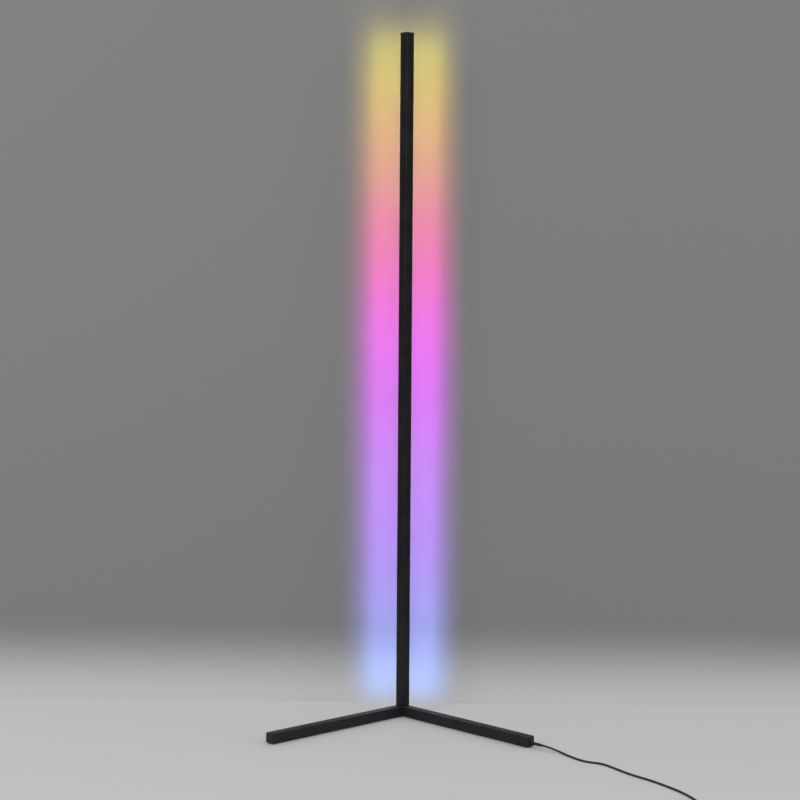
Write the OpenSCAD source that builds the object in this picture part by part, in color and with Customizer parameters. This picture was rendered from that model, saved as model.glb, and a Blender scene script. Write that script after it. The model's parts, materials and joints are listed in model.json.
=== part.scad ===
// Corner floor lamp: a slim square pole on an L of two square legs, which stands in the corner of a room.
// The pole is four lengths of one extrusion. Its rear corner is a window for a light strip behind a diffuser.
// Origin: on the floor, on the pole's axis. +Z is up, +Y points into the corner of the room, -Y to the room.

/* [Bars] */
// Side of the square section that the pole and the legs share
bar_w = 20; // [18:0.5:26]

/* [Pole] */
// Length of one of the four pole sections
section_l = 350; // [250:10:450]
// Wall of the pole's extrusion
pole_wall = 1.2; // [1:0.1:1.6]
// Radius of the extrusion's outer corners
corner_r = 0.8; // [0.4:0.1:1.5]
// Bevel round the sawn ends of each pole section
end_bevel = 0.3; // [0.1:0.05:0.5]
// Distance from the pole's axis forward to the shelf that carries the light strip
shelf_y = 3; // [2.8:0.1:3.4]
// Thickness of the shelf
shelf_t = 2; // [1.8:0.1:2.4]
// Width of the window that the diffuser closes, over the ends of its walls
window_w = 17; // [16:0.5:18]
// How far the lip on each window wall stands in
lip_w = 0.8; // [0.5:0.1:1]
// Thickness of each lip
lip_t = 1; // [0.8:0.1:1.3]

/* [Diffuser] */
// Thickness of the diffuser's face at its edges
face_edge_t = 0.4; // [0.3:0.1:0.8]
// Rise of the diffuser's crown over its edges
face_crown = 1.2; // [0.6:0.1:2]
// Thickness of the diffuser's two snap legs
snap_t = 1; // [0.8:0.1:1.4]
// How far the barb on each snap leg reaches under its lip
barb_w = 0.7; // [0.4:0.1:0.8]
// Length of the barb
barb_l = 1.2; // [0.8:0.1:1.4]

/* [Light strip] */
// Width of the light strip
strip_w = 10; // [8:1:12]
// Thickness of the light strip
strip_t = 0.4; // [0.2:0.1:0.6]
// Side of one square light-emitting package
led_w = 5; // [3.5:0.1:5.4]
// Height of one package over the strip
led_h = 1.6; // [1:0.1:1.8]
// Packages on one metre of strip
leds_per_metre = 60; // [30:5:90]

/* [Joiners] */
// Length of the bar that joins two pole sections
joiner_l = 60; // [50:2:90]
// Distance from the end of a pole section to its screw
screw_inset = 15; // [12:1:20]
// Diameter of the countersunk screws in the pole
pole_screw_d = 3; // [2.5:0.1:3.2]
// Length of the countersunk screws in the pole
pole_screw_l = 6; // [4:0.5:7]

/* [Base] */
// Length of each leg's tube
leg_l = 350; // [300:10:400]
// Wall of the leg's tube
leg_wall = 1.5; // [1.2:0.1:2]
// Outer corner radius of the leg's tube
leg_r = 1.5; // [1:0.1:2]
// Radius of the corner block's edges
block_r = 0.6; // [0.3:0.1:1]
// Length of the corner block's spigot inside each leg
spigot_l = 40; // [36:1:60]
// Length of the corner block's tongue inside the pole
tongue_l = 40; // [26:1:60]
// Bore in the corner block for the strip's lead
lead_bore_d = 5.2; // [4.6:0.1:5.6]
// Diameter of the leg screws
leg_screw_d = 4; // [3:0.5:5]
// Length of the leg screws below their head
leg_screw_l = 8; // [6:0.5:10]
// Distance from the corner block to the first screw of a leg
leg_screw_in = 10; // [8:1:14]
// Distance between the two screws of a leg
leg_screw_pitch = 16; // [10:1:18]
// Height of a leg screw's head
leg_head_h = 1.4; // [1:0.1:1.6]

/* [Feet] */
// Diameter of the foot pads
pad_d = 14; // [10:1:18]
// Thickness of the foot pads, which is the gap under the legs
pad_t = 2; // [1.8:0.1:4]
// Distance from the end of a leg's tube to the centre of its pad
pad_inset = 16; // [10:1:40]

/* [Caps] */
// Thickness of the cap on the pole
top_cap_t = 4; // [2.5:0.5:8]
// How far the cap on the pole stands out over each face
top_cap_over = 0.7; // [0:0.1:1.5]
// Length of the cap's tongue inside the pole
cap_tongue_l = 24; // [24:1:50]
// Thickness of the leg caps' end plates
leg_cap_t = 2; // [1.5:0.1:4]
// Length of the leg caps' plugs inside the tubes
leg_plug_l = 12; // [8:1:20]
// Wall of the leg caps' plugs
leg_plug_wall = 1.4; // [1:0.1:2]

/* [Cord exit] */
// Height of the cord's axis over the lower face of the leg
exit_rise = 7.5; // [7:0.1:8.5]
// Length of the strain relief outside the leg cap
relief_l = 30; // [24:1:50]
// Diameter of the strain relief beside the leg cap
relief_d = 6.8; // [6:0.1:7.4]
// Diameter of the strain relief at its tip
relief_tip_d = 5.2; // [4.6:0.1:5.8]
// Flex slots in the strain relief
relief_slots = 6; // [3:1:7]

/* [Cord] */
// Diameter of the cord
cord_d = 4; // [3.5:0.1:4.2]
// Diameter of the sleeved lead inside the leg
lead_d = 3; // [2:0.1:3.2]

/* [Coil] */
// Turns in each of the coil's two layers, which end a half turn over a whole number
coil_turns = 3.5; // [2.5:1:4.5]
// Radius of the coil's innermost turn
coil_in_r = 16; // [14:0.5:18]
// Gap between neighbouring turns
coil_gap = 0.6; // [0.5:0.1:1]
// Width of the flat tie round the coil
tie_w = 5; // [3:0.5:8]
// Thickness of the tie
tie_t = 0.2; // [0.15:0.01:0.22]

/* [Controller] */
// Length of the in-line controller's case
case_l = 60; // [58:1:80]
// Width of the case
case_w = 18; // [17:0.5:22]
// Height of the case
case_h = 11; // [11:0.5:15]
// Corner radius of the case in plan
case_r = 4; // [3:0.5:6]
// Wall of the case
case_wall = 1.5; // [1.2:0.1:1.8]
// Height of the joint between the case's base and its lid
case_split = 5; // [4.8:0.1:5.4]
// Thickness of the rim that centres the lid on the base
rim_t = 0.7; // [0.6:0.1:1]
// Height of that rim
rim_h = 1.5; // [1:0.1:2]
// Length of the case's two strain reliefs outside its ends
case_relief_l = 10; // [8:1:16]

/* [Buttons] */
// Diameter of the three buttons
button_d = 7; // [6:0.5:8]
// How far the buttons stand over the lid
button_rise = 1; // [0.8:0.1:1.5]
// Travel of the buttons
button_travel = 0.6; // [0.3:0.1:0.8]
// Distance between the buttons
button_pitch = 15; // [12:0.5:16]
// Gap round a button in the lid
button_gap = 0.25; // [0.15:0.05:0.4]

/* [Plug] */
// Length of the plug's moulded body
plug_l = 26; // [20:1:32]
// Width of the plug's moulded body
plug_w = 16; // [15:0.5:18]
// Height of the plug's moulded body
plug_h = 9; // [8:0.5:11]
// Length of the plug's metal shell outside its body
shell_l = 12; // [11:0.5:13]
// Width of the metal shell
shell_w = 12; // [11.5:0.1:12.2]
// Height of the metal shell
shell_h = 4.5; // [4.4:0.1:4.8]
// Sheet thickness of the metal shell
shell_t = 0.3; // [0.2:0.05:0.4]

/* [Hidden] */

$fn = 48;
cut = 0.5;              // how far a cutting body runs past the face that it opens
arc_steps = 5;          // straight steps in a quarter of a rounded outline
sections = 4;
fit = 0.15;             // gap all round a joiner, a tongue or a plug in its chamber
spigot_fit = 0.2;       // gap all round a spigot in its tube
screw_fit = 0.1;        // gap round a screw's shank
tap_run = 0.5;          // of a tapped hole past its screw's tip
socket_ratio = 0.32;    // radius of a screw's hexagon socket over the screw's diameter
snap_fit = 0.1;         // gap between the diffuser and the extrusion
face_in = 0.2;          // from the edge of the window to the edge of the diffuser's face
case_fit = 0.1;         // gap between the parts of the controller's case
neck_fit = 0.05;        // gap round a strain relief's neck

// the pole's section, seen from above, with its corners on the axes
half_diag = bar_w / sqrt(2);
inner_diag = half_diag - pole_wall * sqrt(2);
window_y = half_diag - window_w / 2;
lip_x = inner_diag - window_y - lip_w;
chamber_y = -shelf_y - shelf_t;
chamber_nose = 1.4;     // from the chamber's front corner to the blunt nose of what fills it
chamber_end_y = chamber_nose - inner_diag;

// heights
mid_leg_z = pad_t + bar_w / 2;
base_top = pad_t + bar_w;
pole_top = base_top + sections * section_l;

// the pole's strip and screws
strip_inset = 10;       // from each end of the pole to the strip
strip_z = base_top + strip_inset;
strip_l = pole_top - strip_inset - strip_z;
led_pitch = 1000 / leds_per_metre;
led_margin = 12;        // from the strip's ends to the first and last package
led_count = floor((strip_l - 2 * led_margin) / led_pitch) + 1;
led_rim = 0.5;
led_lens_d = led_w - 2 * led_rim;
led_lens_depth = 0.3;
head_ratio = 0.93;      // radius of a countersunk head over its screw's diameter
head_r = pole_screw_d * head_ratio;
head_h = head_r - pole_screw_d / 2;
socket_depth = 1;
joint_zs = [for (k = [1:sections - 1]) base_top + k * section_l];
screw_zs = concat([base_top + screw_inset, pole_top - screw_inset],
    [for (z = joint_zs) z - screw_inset], [for (z = joint_zs) z + screw_inset]);

// the base
right_leg_angle = -45;
left_leg_angle = -135;
leg_start = bar_w / 2;
leg_end = leg_start + leg_l;
tube_half = bar_w / 2 - leg_wall;
tube_in_r = 0.6;
spigot_w = 2 * (tube_half - spigot_fit);
plug_side = 2 * (tube_half - fit);
bore_wall = 1.7;        // of a spigot over the lead's bore
lead_z = base_top - leg_wall - spigot_fit - bore_wall - lead_bore_d / 2;
riser_d = lead_bore_d + 0.4;
leg_screw_xs = [for (k = [0:1]) leg_start + leg_screw_in + k * leg_screw_pitch];
leg_head_ratio = 0.9;   // radius of a leg screw's head over the screw's diameter
leg_head_r = leg_screw_d * leg_head_ratio;
crush_rib_w = 1;
crush_rib_at = plug_side / 4;
crush_rib_in = 1;       // from the plug's ends to its ribs

// the cord's exit from the right leg
exit_z = pad_t + exit_rise;
relief_collar_t = 2;
relief_collar_d = relief_d + 1.4;
relief_flange_t = 2;
relief_neck_d = relief_d - 0.6;
relief_tip = leg_end + leg_cap_t + relief_l;
slot_depth = 0.6;
slot_w = 1.2;

// the lead inside the leg
lead_rest = 0.2;        // gap under the lead along the leg
lead_slope_l = 60;      // length over which the lead comes down from the exit, or up to the block
lead_slope_steps = 6;
lead_bend_r = 5;        // from the block's bore into its riser
lead_solder_gap = 0.1;

// the in-line controller's place, outside the right leg
case_at = [444, -680];
case_in = case_wall + case_fit + rim_t;      // from the case's outside to its pocket
least_r = 0.2;
case_lead_z = case_split;
case_neck_d = 5;
case_flange_d = 6.4;
case_flange_t = 1.4;
sleeve_over = 0.8;      // diameter of a moulded sleeve's tip over the cord's
sleeve_slots = 3;
case_tip = case_l / 2 + case_relief_l;
board_t = 1.2;
board_z = 3.4;
board_end_gap = 0.3;
board_l = case_l - 2 * (case_in + case_flange_t + board_end_gap);
board_side_gap = 0.2;
board_w = case_w - 2 * (case_in + board_side_gap);
board_top = board_z + board_t;
post_r = 1.4;
post_inset = [5, 2.2];  // from the board's ends and sides to the posts under it
post_x = board_l / 2 - post_inset.x;
post_y = board_w / 2 - post_inset.y;
switch_w = 4.5;
switch_h = 1.5;
plunger_r = 1;
plunger_h = 0.3;
switch_top = board_top + switch_h + plunger_h;
chip_size = [5, 4, 1.4];
chip_x = -button_pitch / 2;
flange_t = 0.8;
flange_w = 1.1;
flange_top = case_h - case_wall - case_fit;
stem_r = 1.5;
stem_clear = 0.05;      // gap between a pressed button's stem and its switch
stem_z = switch_top + stem_clear + button_travel;
button_top = case_h + button_rise;
dish_depth = 0.3;
dish_rim = 0.9;         // from a button's side to its dish
button_edge_r = 0.4;

// the coil: two layers, in and out again, beyond the controller
coil_pitch = cord_d + coil_gap;
coil_out_r = coil_in_r + coil_pitch * coil_turns;
coil_run = 40;          // straight cord between the controller and the coil
coil_tail = 30;         // straight cord between the coil and the plug
coil_dip = 0.8;         // how far the climbing half turn draws in
coil_end_steps = 6;     // steps in each of these
coil_rings = 24;        // steps in a turn
coil_sides = 6;
coil_centre = case_at - [case_tip + coil_run, coil_out_r];
layer_zs = [cord_d / 2, cord_d / 2 + coil_pitch];
tie_gap = 0.4;          // between the tie and the turns that it holds
tie_r = 1.2;

// the plug
plug_axis_z = plug_h / 2;
plug_relief_l = 12;
plug_relief_d = 6;
plug_at = [coil_centre.x + coil_tail, coil_centre.y - coil_out_r];
plug_start = plug_at.x + plug_relief_l;
plug_r = 3;
plug_edge_r = 1.5;
shell_in = 6;           // length of the shell inside the body
shell_window = 2.2;
shell_window_y = 3;
shell_window_in = 4.5;  // from the shell's mouth to the middle of its windows
tongue_t = 1.8;
tongue_gap = 0.15;      // between the tongue's sides and the shell
tongue_rest = 0.05;     // between the tongue and the shell's upper wall
tongue_z = plug_axis_z + shell_h / 2 - shell_t - tongue_rest - tongue_t;
tongue_in = 1;          // from the shell's mouth to the end of its tongue
contact_w = 1.2;
contact_t = 0.2;
contact_pitch = 2.3;
contact_l = 8;
contact_in = 1;         // from the tongue's end to its contacts

// the cord's route from the strain relief to the controller, chosen by eye on the floor
leg_dir = [cos(right_leg_angle), sin(right_leg_angle), 0];
cord_start = relief_tip * leg_dir + [0, 0, exit_z];
cord_end = [case_at.x + case_tip, case_at.y, case_lead_z];
lamp_route = [
    [290, -286, 8],
    [299, -292, 6],
    [312, -304, 3.4],
    [325, -324, 2.1],
    [338, -345, 2],
    [351, -361, 2],
    [365, -370, 2],
    [378, -376, 2],
    [390, -388, 2],
    [402, -407, 2],
    [415, -429, 2],
    [429, -451, 2],
    [443, -469, 2],
    [457, -486, 2],
    [471, -506, 2],
    [485, -528, 2],
    [499, -552, 2],
    [511, -577, 2],
    [520, -602, 2],
    [526, -627, 2],
    [526, -650, 2],
    [516, -668, 2.2],
    [502, -677, 3.2],
    [494, -680, 4.6]];

// ---- outlines and paths ----

function arc(c, r, a, b, n = arc_steps) =
    [for (i = [0:n]) c + r * [cos(a + (b - a) * i / n), sin(a + (b - a) * i / n)]];

function rounded(w, h, r) = concat(
    arc([w / 2 - r, h / 2 - r], r, 0, 90), arc([r - w / 2, h / 2 - r], r, 90, 180),
    arc([r - w / 2, r - h / 2], r, 180, 270), arc([w / 2 - r, r - h / 2], r, 270, 360));

function mirrored(half) = concat(half, [for (i = [len(half) - 1:-1:0]) [-half[i].x, half[i].y]]);

function unit(v) = v / norm(v);

function tangent(p, i) = unit(p[min(i + 1, len(p) - 1)] - p[max(i - 1, 0)]);

function ease(s) = s * s * (3 - 2 * s);

// a smooth curve through the points, with n steps from one to the next
function through(a, b, c, d, s) =
    0.5 * (2 * b + (c - a) * s + (2 * a - 5 * b + 4 * c - d) * s * s + (3 * b - a - 3 * c + d) * s * s * s);

function smooth(p, n) = concat(
    [for (i = [0:len(p) - 2]) for (k = [0:n - 1])
        through(p[max(i - 1, 0)], p[i], p[i + 1], p[min(i + 2, len(p) - 1)], k / n)],
    [p[len(p) - 1]]);

function path_l(p) = len(p) < 2 ? 0 : [for (i = 0, s = 0; i < len(p); s = s + (i < len(p) - 1 ?
    norm(p[i + 1] - p[i]) : 0), i = i + 1) s][len(p) - 1];

// rings of a tube, flat side down; ref is a direction that the path never takes
function rings(p, r, sides, ref) = [for (i = [0:len(p) - 1])
    let (t = tangent(p, i), side = unit(cross(ref, t)), up = cross(t, side))
    for (k = [0:sides - 1])
        let (a = 360 * (k + 0.5) / sides - 90)
        p[i] + r * (cos(a) * side + sin(a) * up)];

function tube_faces(n, sides) = concat(
    [[for (k = [0:sides - 1]) k]],
    [for (i = [0:n - 2]) for (k = [0:sides - 1]) each
        let (a = i * sides + k, b = i * sides + (k + 1) % sides, c = a + sides, d = b + sides)
        [[a, c, b], [b, c, d]]],
    [[for (k = [sides - 1:-1:0]) (n - 1) * sides + k]]);

module tube(p, d, sides, ref = [0, 0, 1]) {
    polyhedron(rings(p, d / 2, sides, ref), tube_faces(len(p), sides));
}

// ---- shared shapes ----

// turns a shape drawn along +X on a leg into that leg's place
module on_leg(turn) {
    rotate([0, 0, turn]) children();
}

module square_bar(w, h, r, l) {
    rotate([90, 0, 90]) linear_extrude(l) polygon(rounded(w, h, r));
}

// a countersunk screw with its head's face at z = 0 and its shank along +Z
module countersunk(d, l) {
    difference() {
        union() {
            cylinder(h = head_h, r1 = head_r, r2 = d / 2);
            cylinder(h = l, r = d / 2);
        }
        translate([0, 0, -cut]) cylinder(h = socket_depth + cut, r = d * socket_ratio, $fn = 6);
    }
}

module countersink(d) {
    translate([0, 0, -cut]) cylinder(h = head_h + cut, r1 = head_r + screw_fit + cut, r2 = d / 2 + screw_fit);
    translate([0, 0, -cut]) cylinder(h = shelf_t + 2 * cut, r = d / 2 + screw_fit);
}

// the blind tapped hole of a pole screw, in what fills the chamber
module pole_tap() {
    cylinder(h = pole_screw_l + tap_run, r = pole_screw_d / 2 + screw_fit);
}

// places a shape at each screw of the pole, with +Z into the shelf
module at_pole_screws(zs) {
    for (z = zs) translate([0, -shelf_y, z]) rotate([90, 0, 0]) children();
}

// the bar that fills the pole's closed front chamber
module chamber_bar(l) {
    w = inner_diag - fit * sqrt(2);
    linear_extrude(l) polygon(mirrored([
        [w + chamber_end_y, chamber_end_y],
        [w + chamber_y - fit, chamber_y - fit]]));
}

// a boot that tapers from d to tip_d over l along +Z, with flex slots
module boot(d, tip_d, l, slots) {
    pitch = l / (slots + 1);
    rotate_extrude() polygon(concat([[0, 0]],
        [[d / 2, 0]],
        [for (i = [1:slots]) each flex_slot(i * pitch, (tip_d - d) / (2 * l), d / 2)],
        [[tip_d / 2, l], [0, l]]));
}

// the outline of one slot that ends at height z on a boot of radius r0 and the given taper
function flex_slot(z, taper, r0) =
    let (ra = r0 + taper * (z - slot_w), rb = r0 + taper * z)
    [[ra, z - slot_w], [ra - slot_depth, z - slot_w], [rb - slot_depth, z], [rb, z]];

// ---- base ----

module corner_block() {
    color([0.05, 0.05, 0.055]) difference() {
        union() {
            intersection() {
                translate([0, 0, pad_t]) rotate([0, 0, right_leg_angle])
                    linear_extrude(bar_w) polygon(rounded(bar_w, bar_w, corner_r));
                on_leg(left_leg_angle)
                    translate([-bar_w, 0, mid_leg_z]) square_bar(bar_w, bar_w, block_r, 2 * bar_w);
                on_leg(right_leg_angle)
                    translate([-bar_w, 0, mid_leg_z]) square_bar(bar_w, bar_w, block_r, 2 * bar_w);
            }
            for (turn = [left_leg_angle, right_leg_angle]) on_leg(turn)
                translate([0, 0, mid_leg_z]) square_bar(spigot_w, spigot_w, tube_in_r, leg_start + spigot_l);
            translate([0, 0, base_top - cut]) chamber_bar(tongue_l + cut);
        }
        on_leg(right_leg_angle) translate([0, 0, lead_z]) rotate([0, 90, 0])
            cylinder(h = leg_start + spigot_l + cut, d = lead_bore_d);
        translate([0, 0, lead_z - riser_d / 2]) cylinder(h = bar_w, d = riser_d);
        for (turn = [left_leg_angle, right_leg_angle], x = leg_screw_xs) on_leg(turn)
            translate([x, 0, pad_t]) cylinder(h = leg_screw_l + tap_run, d = leg_screw_d + 2 * screw_fit);
        at_pole_screws([base_top + screw_inset]) pole_tap();
    }
}

module leg(turn) {
    color([0.05, 0.05, 0.055]) on_leg(turn) difference() {
        translate([leg_start, 0, mid_leg_z]) rotate([90, 0, 90]) linear_extrude(leg_l) difference() {
            polygon(rounded(bar_w, bar_w, leg_r));
            polygon(rounded(2 * tube_half, 2 * tube_half, tube_in_r));
        }
        for (x = leg_screw_xs) translate([x, 0, pad_t - cut])
            cylinder(h = leg_wall + 2 * cut, d = leg_screw_d + 2 * screw_fit);
    }
}

module leg_cap(turn, has_exit) {
    color([0.04, 0.04, 0.04]) on_leg(turn) difference() {
        union() {
            translate([leg_end, 0, mid_leg_z]) square_bar(bar_w, bar_w, leg_r, leg_cap_t);
            difference() {
                translate([leg_end - leg_plug_l, 0, mid_leg_z])
                    square_bar(plug_side, plug_side, tube_in_r, leg_plug_l);
                translate([leg_end - leg_plug_l - cut, 0, mid_leg_z])
                    square_bar(plug_side - 2 * leg_plug_wall, plug_side - 2 * leg_plug_wall,
                        tube_in_r, leg_plug_l + cut);
            }
            for (q = [0:90:270], y = [-crush_rib_at, crush_rib_at])
                translate([leg_end - leg_plug_l + crush_rib_in, 0, mid_leg_z]) rotate([q, 0, 0])
                    translate([0, y - crush_rib_w / 2, plug_side / 2 - cut])
                        cube([leg_plug_l - 2 * crush_rib_in, crush_rib_w, fit + cut]);
        }
        if (has_exit) translate([leg_end - cut, 0, exit_z]) rotate([0, 90, 0])
            cylinder(h = leg_cap_t + 2 * cut, d = relief_neck_d + 2 * neck_fit);
    }
}

// a low round-headed screw under each hole of the legs
module leg_screws() {
    color([0.12, 0.12, 0.13]) for (turn = [left_leg_angle, right_leg_angle], x = leg_screw_xs) on_leg(turn)
        translate([x, 0, pad_t]) difference() {
            union() {
                cylinder(h = leg_screw_l, d = leg_screw_d);
                rotate_extrude() polygon(concat([[0, 0]],
                    arc([leg_head_r - leg_head_h, 0], leg_head_h, 0, -90), [[0, -leg_head_h]]));
            }
            translate([0, 0, -leg_head_h - cut])
                cylinder(h = leg_head_h + cut, r = leg_screw_d * socket_ratio, $fn = 6);
        }
}

module foot_pads() {
    color([0.09, 0.09, 0.09]) {
        foot_pad();
        for (turn = [left_leg_angle, right_leg_angle]) on_leg(turn)
            translate([leg_end - pad_inset, 0, 0]) foot_pad();
    }
}

module foot_pad() {
    edge = 0.4;
    cylinder(h = edge, d1 = pad_d - 2 * edge, d2 = pad_d);
    translate([0, 0, edge]) cylinder(h = pad_t - edge, d = pad_d);
}

// ---- pole ----

// one length of the extrusion: two room-side walls, the shelf for the strip, a closed chamber in front
// and a lipped window behind
module pole_section(n) {
    z = base_top + (n - 1) * section_l;
    color([0.04, 0.04, 0.045]) difference() {
        translate([0, 0, z]) linear_extrude(section_l) difference() {
            polygon(concat(
                arc([0, corner_r * sqrt(2) - half_diag], corner_r, -135, -45),
                arc([half_diag - corner_r * sqrt(2), 0], corner_r, -45, 45),
                [[window_w / 2, window_y], [-window_w / 2, window_y]],
                arc([corner_r * sqrt(2) - half_diag, 0], corner_r, 135, 225)));
            polygon(mirrored([
                [lip_x, window_y + cut],
                [lip_x, window_y - lip_t],
                [inner_diag - window_y + lip_t, window_y - lip_t],
                [inner_diag, 0],
                [inner_diag - shelf_y, -shelf_y]]));
            polygon([
                [-inner_diag - chamber_y, chamber_y],
                [0, -inner_diag],
                [inner_diag + chamber_y, chamber_y]]);
        }
        at_pole_screws([z + screw_inset, z + section_l - screw_inset]) countersink(pole_screw_d);
        for (end = [z, z + section_l]) translate([0, 0, end]) end_bevels();
    }
}

// four bars that bevel the outer edges of a sawn end
module end_bevels() {
    for (q = [0:90:270]) rotate([0, 0, right_leg_angle + q]) translate([bar_w / 2, 0, 0]) rotate([0, 45, 0])
        cube([end_bevel * sqrt(2), 2 * bar_w, end_bevel * sqrt(2)], center = true);
}

module pole_joiners() {
    color([0.62, 0.63, 0.65]) difference() {
        for (z = joint_zs) translate([0, 0, z - joiner_l / 2]) chamber_bar(joiner_l);
        at_pole_screws([for (z = joint_zs, side = [-1, 1]) z + side * screw_inset]) pole_tap();
    }
}

module pole_screws() {
    color([0.55, 0.55, 0.57]) at_pole_screws(screw_zs) countersunk(pole_screw_d, pole_screw_l);
}

module top_cap() {
    w = bar_w + 2 * top_cap_over;
    edge = 0.6;
    color([0.04, 0.04, 0.04]) difference() {
        union() {
            translate([0, 0, pole_top]) rotate([0, 0, right_leg_angle]) hull() {
                linear_extrude(top_cap_t - edge) polygon(rounded(w, w, corner_r + top_cap_over));
                linear_extrude(top_cap_t) polygon(rounded(w - 2 * edge, w - 2 * edge, corner_r));
            }
            translate([0, 0, pole_top - cap_tongue_l]) chamber_bar(cap_tongue_l + cut);
        }
        at_pole_screws([pole_top - screw_inset]) pole_tap();
    }
}

// a crowned face over the window, on two snap legs with barbs under the lips
module diffuser() {
    face_y = window_y + snap_fit / 2;
    face_x = window_w / 2 - face_in;
    crown_r = (face_x * face_x + face_crown * face_crown) / (2 * face_crown);
    crown_a = asin(face_x / crown_r);
    snap_x = lip_x - snap_fit;
    barb_y = window_y - lip_t - snap_fit;
    crown_y = face_y + face_edge_t + face_crown - crown_r;
    color([0.93, 0.93, 0.9]) translate([0, 0, base_top]) linear_extrude(sections * section_l)
        polygon(mirrored(concat(
            arc([0, crown_y], crown_r, 90, 90 - crown_a),
            [[face_x, face_y],
            [snap_x, face_y],
            [snap_x, barb_y],
            [snap_x + barb_w, barb_y],
            [snap_x, barb_y - barb_l],
            [snap_x - snap_t, barb_y - barb_l],
            [snap_x - snap_t, face_y]])));
}

module light_strip() {
    color([0.9, 0.9, 0.88]) translate([-strip_w / 2, -shelf_y, strip_z]) cube([strip_w, strip_t, strip_l]);
}

module led_packages() {
    color([0.95, 0.95, 0.8]) for (i = [0:led_count - 1])
        translate([0, strip_t - shelf_y, strip_z + led_margin + i * led_pitch]) difference() {
            translate([-led_w / 2, 0, -led_w / 2]) cube([led_w, led_h, led_w]);
            translate([0, led_h - led_lens_depth, 0]) rotate([-90, 0, 0])
                cylinder(h = led_lens_depth + cut, d = led_lens_d, $fn = 20);
        }
}

// ---- cord exit ----

module strain_relief() {
    color([0.05, 0.05, 0.05]) on_leg(right_leg_angle) translate([leg_end, 0, exit_z]) rotate([0, 90, 0]) {
        translate([0, 0, -relief_flange_t]) cylinder(h = relief_flange_t, d = relief_collar_d);
        cylinder(h = leg_cap_t, d = relief_neck_d);
        translate([0, 0, leg_cap_t]) cylinder(h = relief_collar_t, d = relief_collar_d);
        translate([0, 0, leg_cap_t + relief_collar_t])
            boot(relief_d, relief_tip_d, relief_l - relief_collar_t, relief_slots);
    }
}

// the sleeved lead from the strain relief along the right leg and through the corner block to the strip
module inner_lead() {
    start = leg_end - relief_flange_t;
    low_z = pad_t + leg_wall + lead_rest + lead_d / 2;
    spigot_end = leg_start + spigot_l;
    solder_y = strip_t - shelf_y + lead_solder_gap + lead_d / 2;
    in_leg = concat(
        [[start, 0, exit_z]],
        slope(start - lead_d, exit_z, low_z),
        slope(spigot_end + lead_d + lead_slope_l, low_z, lead_z),
        [[spigot_end, 0, lead_z], [lead_bend_r + lead_d, 0, lead_z]],
        arc_up(lead_bend_r, lead_z));
    color([0.1, 0.1, 0.1]) tube(concat(
        [for (p = in_leg) [p.x * cos(right_leg_angle), p.x * sin(right_leg_angle), p.z]],
        [[0, 0, base_top], [0, solder_y, strip_z], [0, solder_y, strip_z + lead_d]]),
        lead_d, 8, [leg_dir.x, -leg_dir.y, 0]);
}

// points that run in from x and change height gently
function slope(x, from_z, to_z) = [for (i = [0:lead_slope_steps])
    let (s = i / lead_slope_steps) [x - lead_slope_l * s, 0, from_z + (to_z - from_z) * ease(s)]];

// points of a quarter bend from along the leg to straight up
function arc_up(r, z) = [for (a = [0:22.5:90]) [r * (1 - sin(a)), 0, z + r * (1 - cos(a))]];

module lamp_cord() {
    color([0.05, 0.05, 0.05]) tube(lamp_path, cord_d, 8);
}

lamp_path = concat(
    [cord_start],
    smooth(concat([cord_start + cord_d * leg_dir], lamp_route, [cord_end + [cord_d, 0, 0]]), 2),
    [cord_end]);
echo(lamp_cord_mm = path_l(lamp_path), lamp_cord_rings = len(lamp_path));

// ---- in-line controller ----

module at_case() {
    translate([case_at.x, case_at.y, 0]) children();
}

module case_outline(inset) {
    polygon(rounded(case_l - 2 * inset, case_w - 2 * inset, max(case_r - inset, least_r)));
}

// the round ways through the case's ends for its strain reliefs
module case_ways() {
    translate([-case_l, 0, case_lead_z]) rotate([0, 90, 0])
        cylinder(h = 2 * case_l, d = case_neck_d + 2 * neck_fit);
}

module controller_base() {
    color([0.05, 0.05, 0.05]) at_case() {
        difference() {
            union() {
                linear_extrude(case_split) case_outline(0);
                translate([0, 0, case_split - cut]) linear_extrude(rim_h + cut)
                    case_outline(case_wall + case_fit);
            }
            translate([0, 0, case_wall]) linear_extrude(case_h) case_outline(case_in);
            case_ways();
        }
        for (x = [-post_x, post_x], y = [-post_y, post_y])
            translate([x, y, case_wall - cut]) cylinder(h = board_z - case_wall + cut, r = post_r, $fn = 24);
    }
}

module controller_lid() {
    color([0.05, 0.05, 0.05]) at_case() difference() {
        translate([0, 0, case_split]) linear_extrude(case_h - case_split) case_outline(0);
        translate([0, 0, case_split - cut]) linear_extrude(case_h - case_wall - case_split + cut)
            case_outline(case_wall);
        case_ways();
        for (k = [-1:1]) translate([k * button_pitch, 0, case_split])
            cylinder(h = case_h, d = button_d + 2 * button_gap);
    }
}

module controller_board() {
    color([0.1, 0.3, 0.15]) at_case() translate([0, 0, board_z]) linear_extrude(board_t)
        polygon(rounded(board_l, board_w, max(case_r - case_in, least_r)));
}

module controller_chip() {
    color([0.08, 0.08, 0.08]) at_case() translate([chip_x, 0, board_top])
        translate([-chip_size.x / 2, -chip_size.y / 2, 0]) cube(chip_size);
}

module controller_switches() {
    color([0.7, 0.7, 0.72]) at_case() for (k = [-1:1]) translate([k * button_pitch, 0, board_top]) {
        translate([-switch_w / 2, -switch_w / 2, 0]) cube([switch_w, switch_w, switch_h]);
        translate([0, 0, switch_h - cut]) cylinder(h = plunger_h + cut, r = plunger_r);
    }
}

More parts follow.
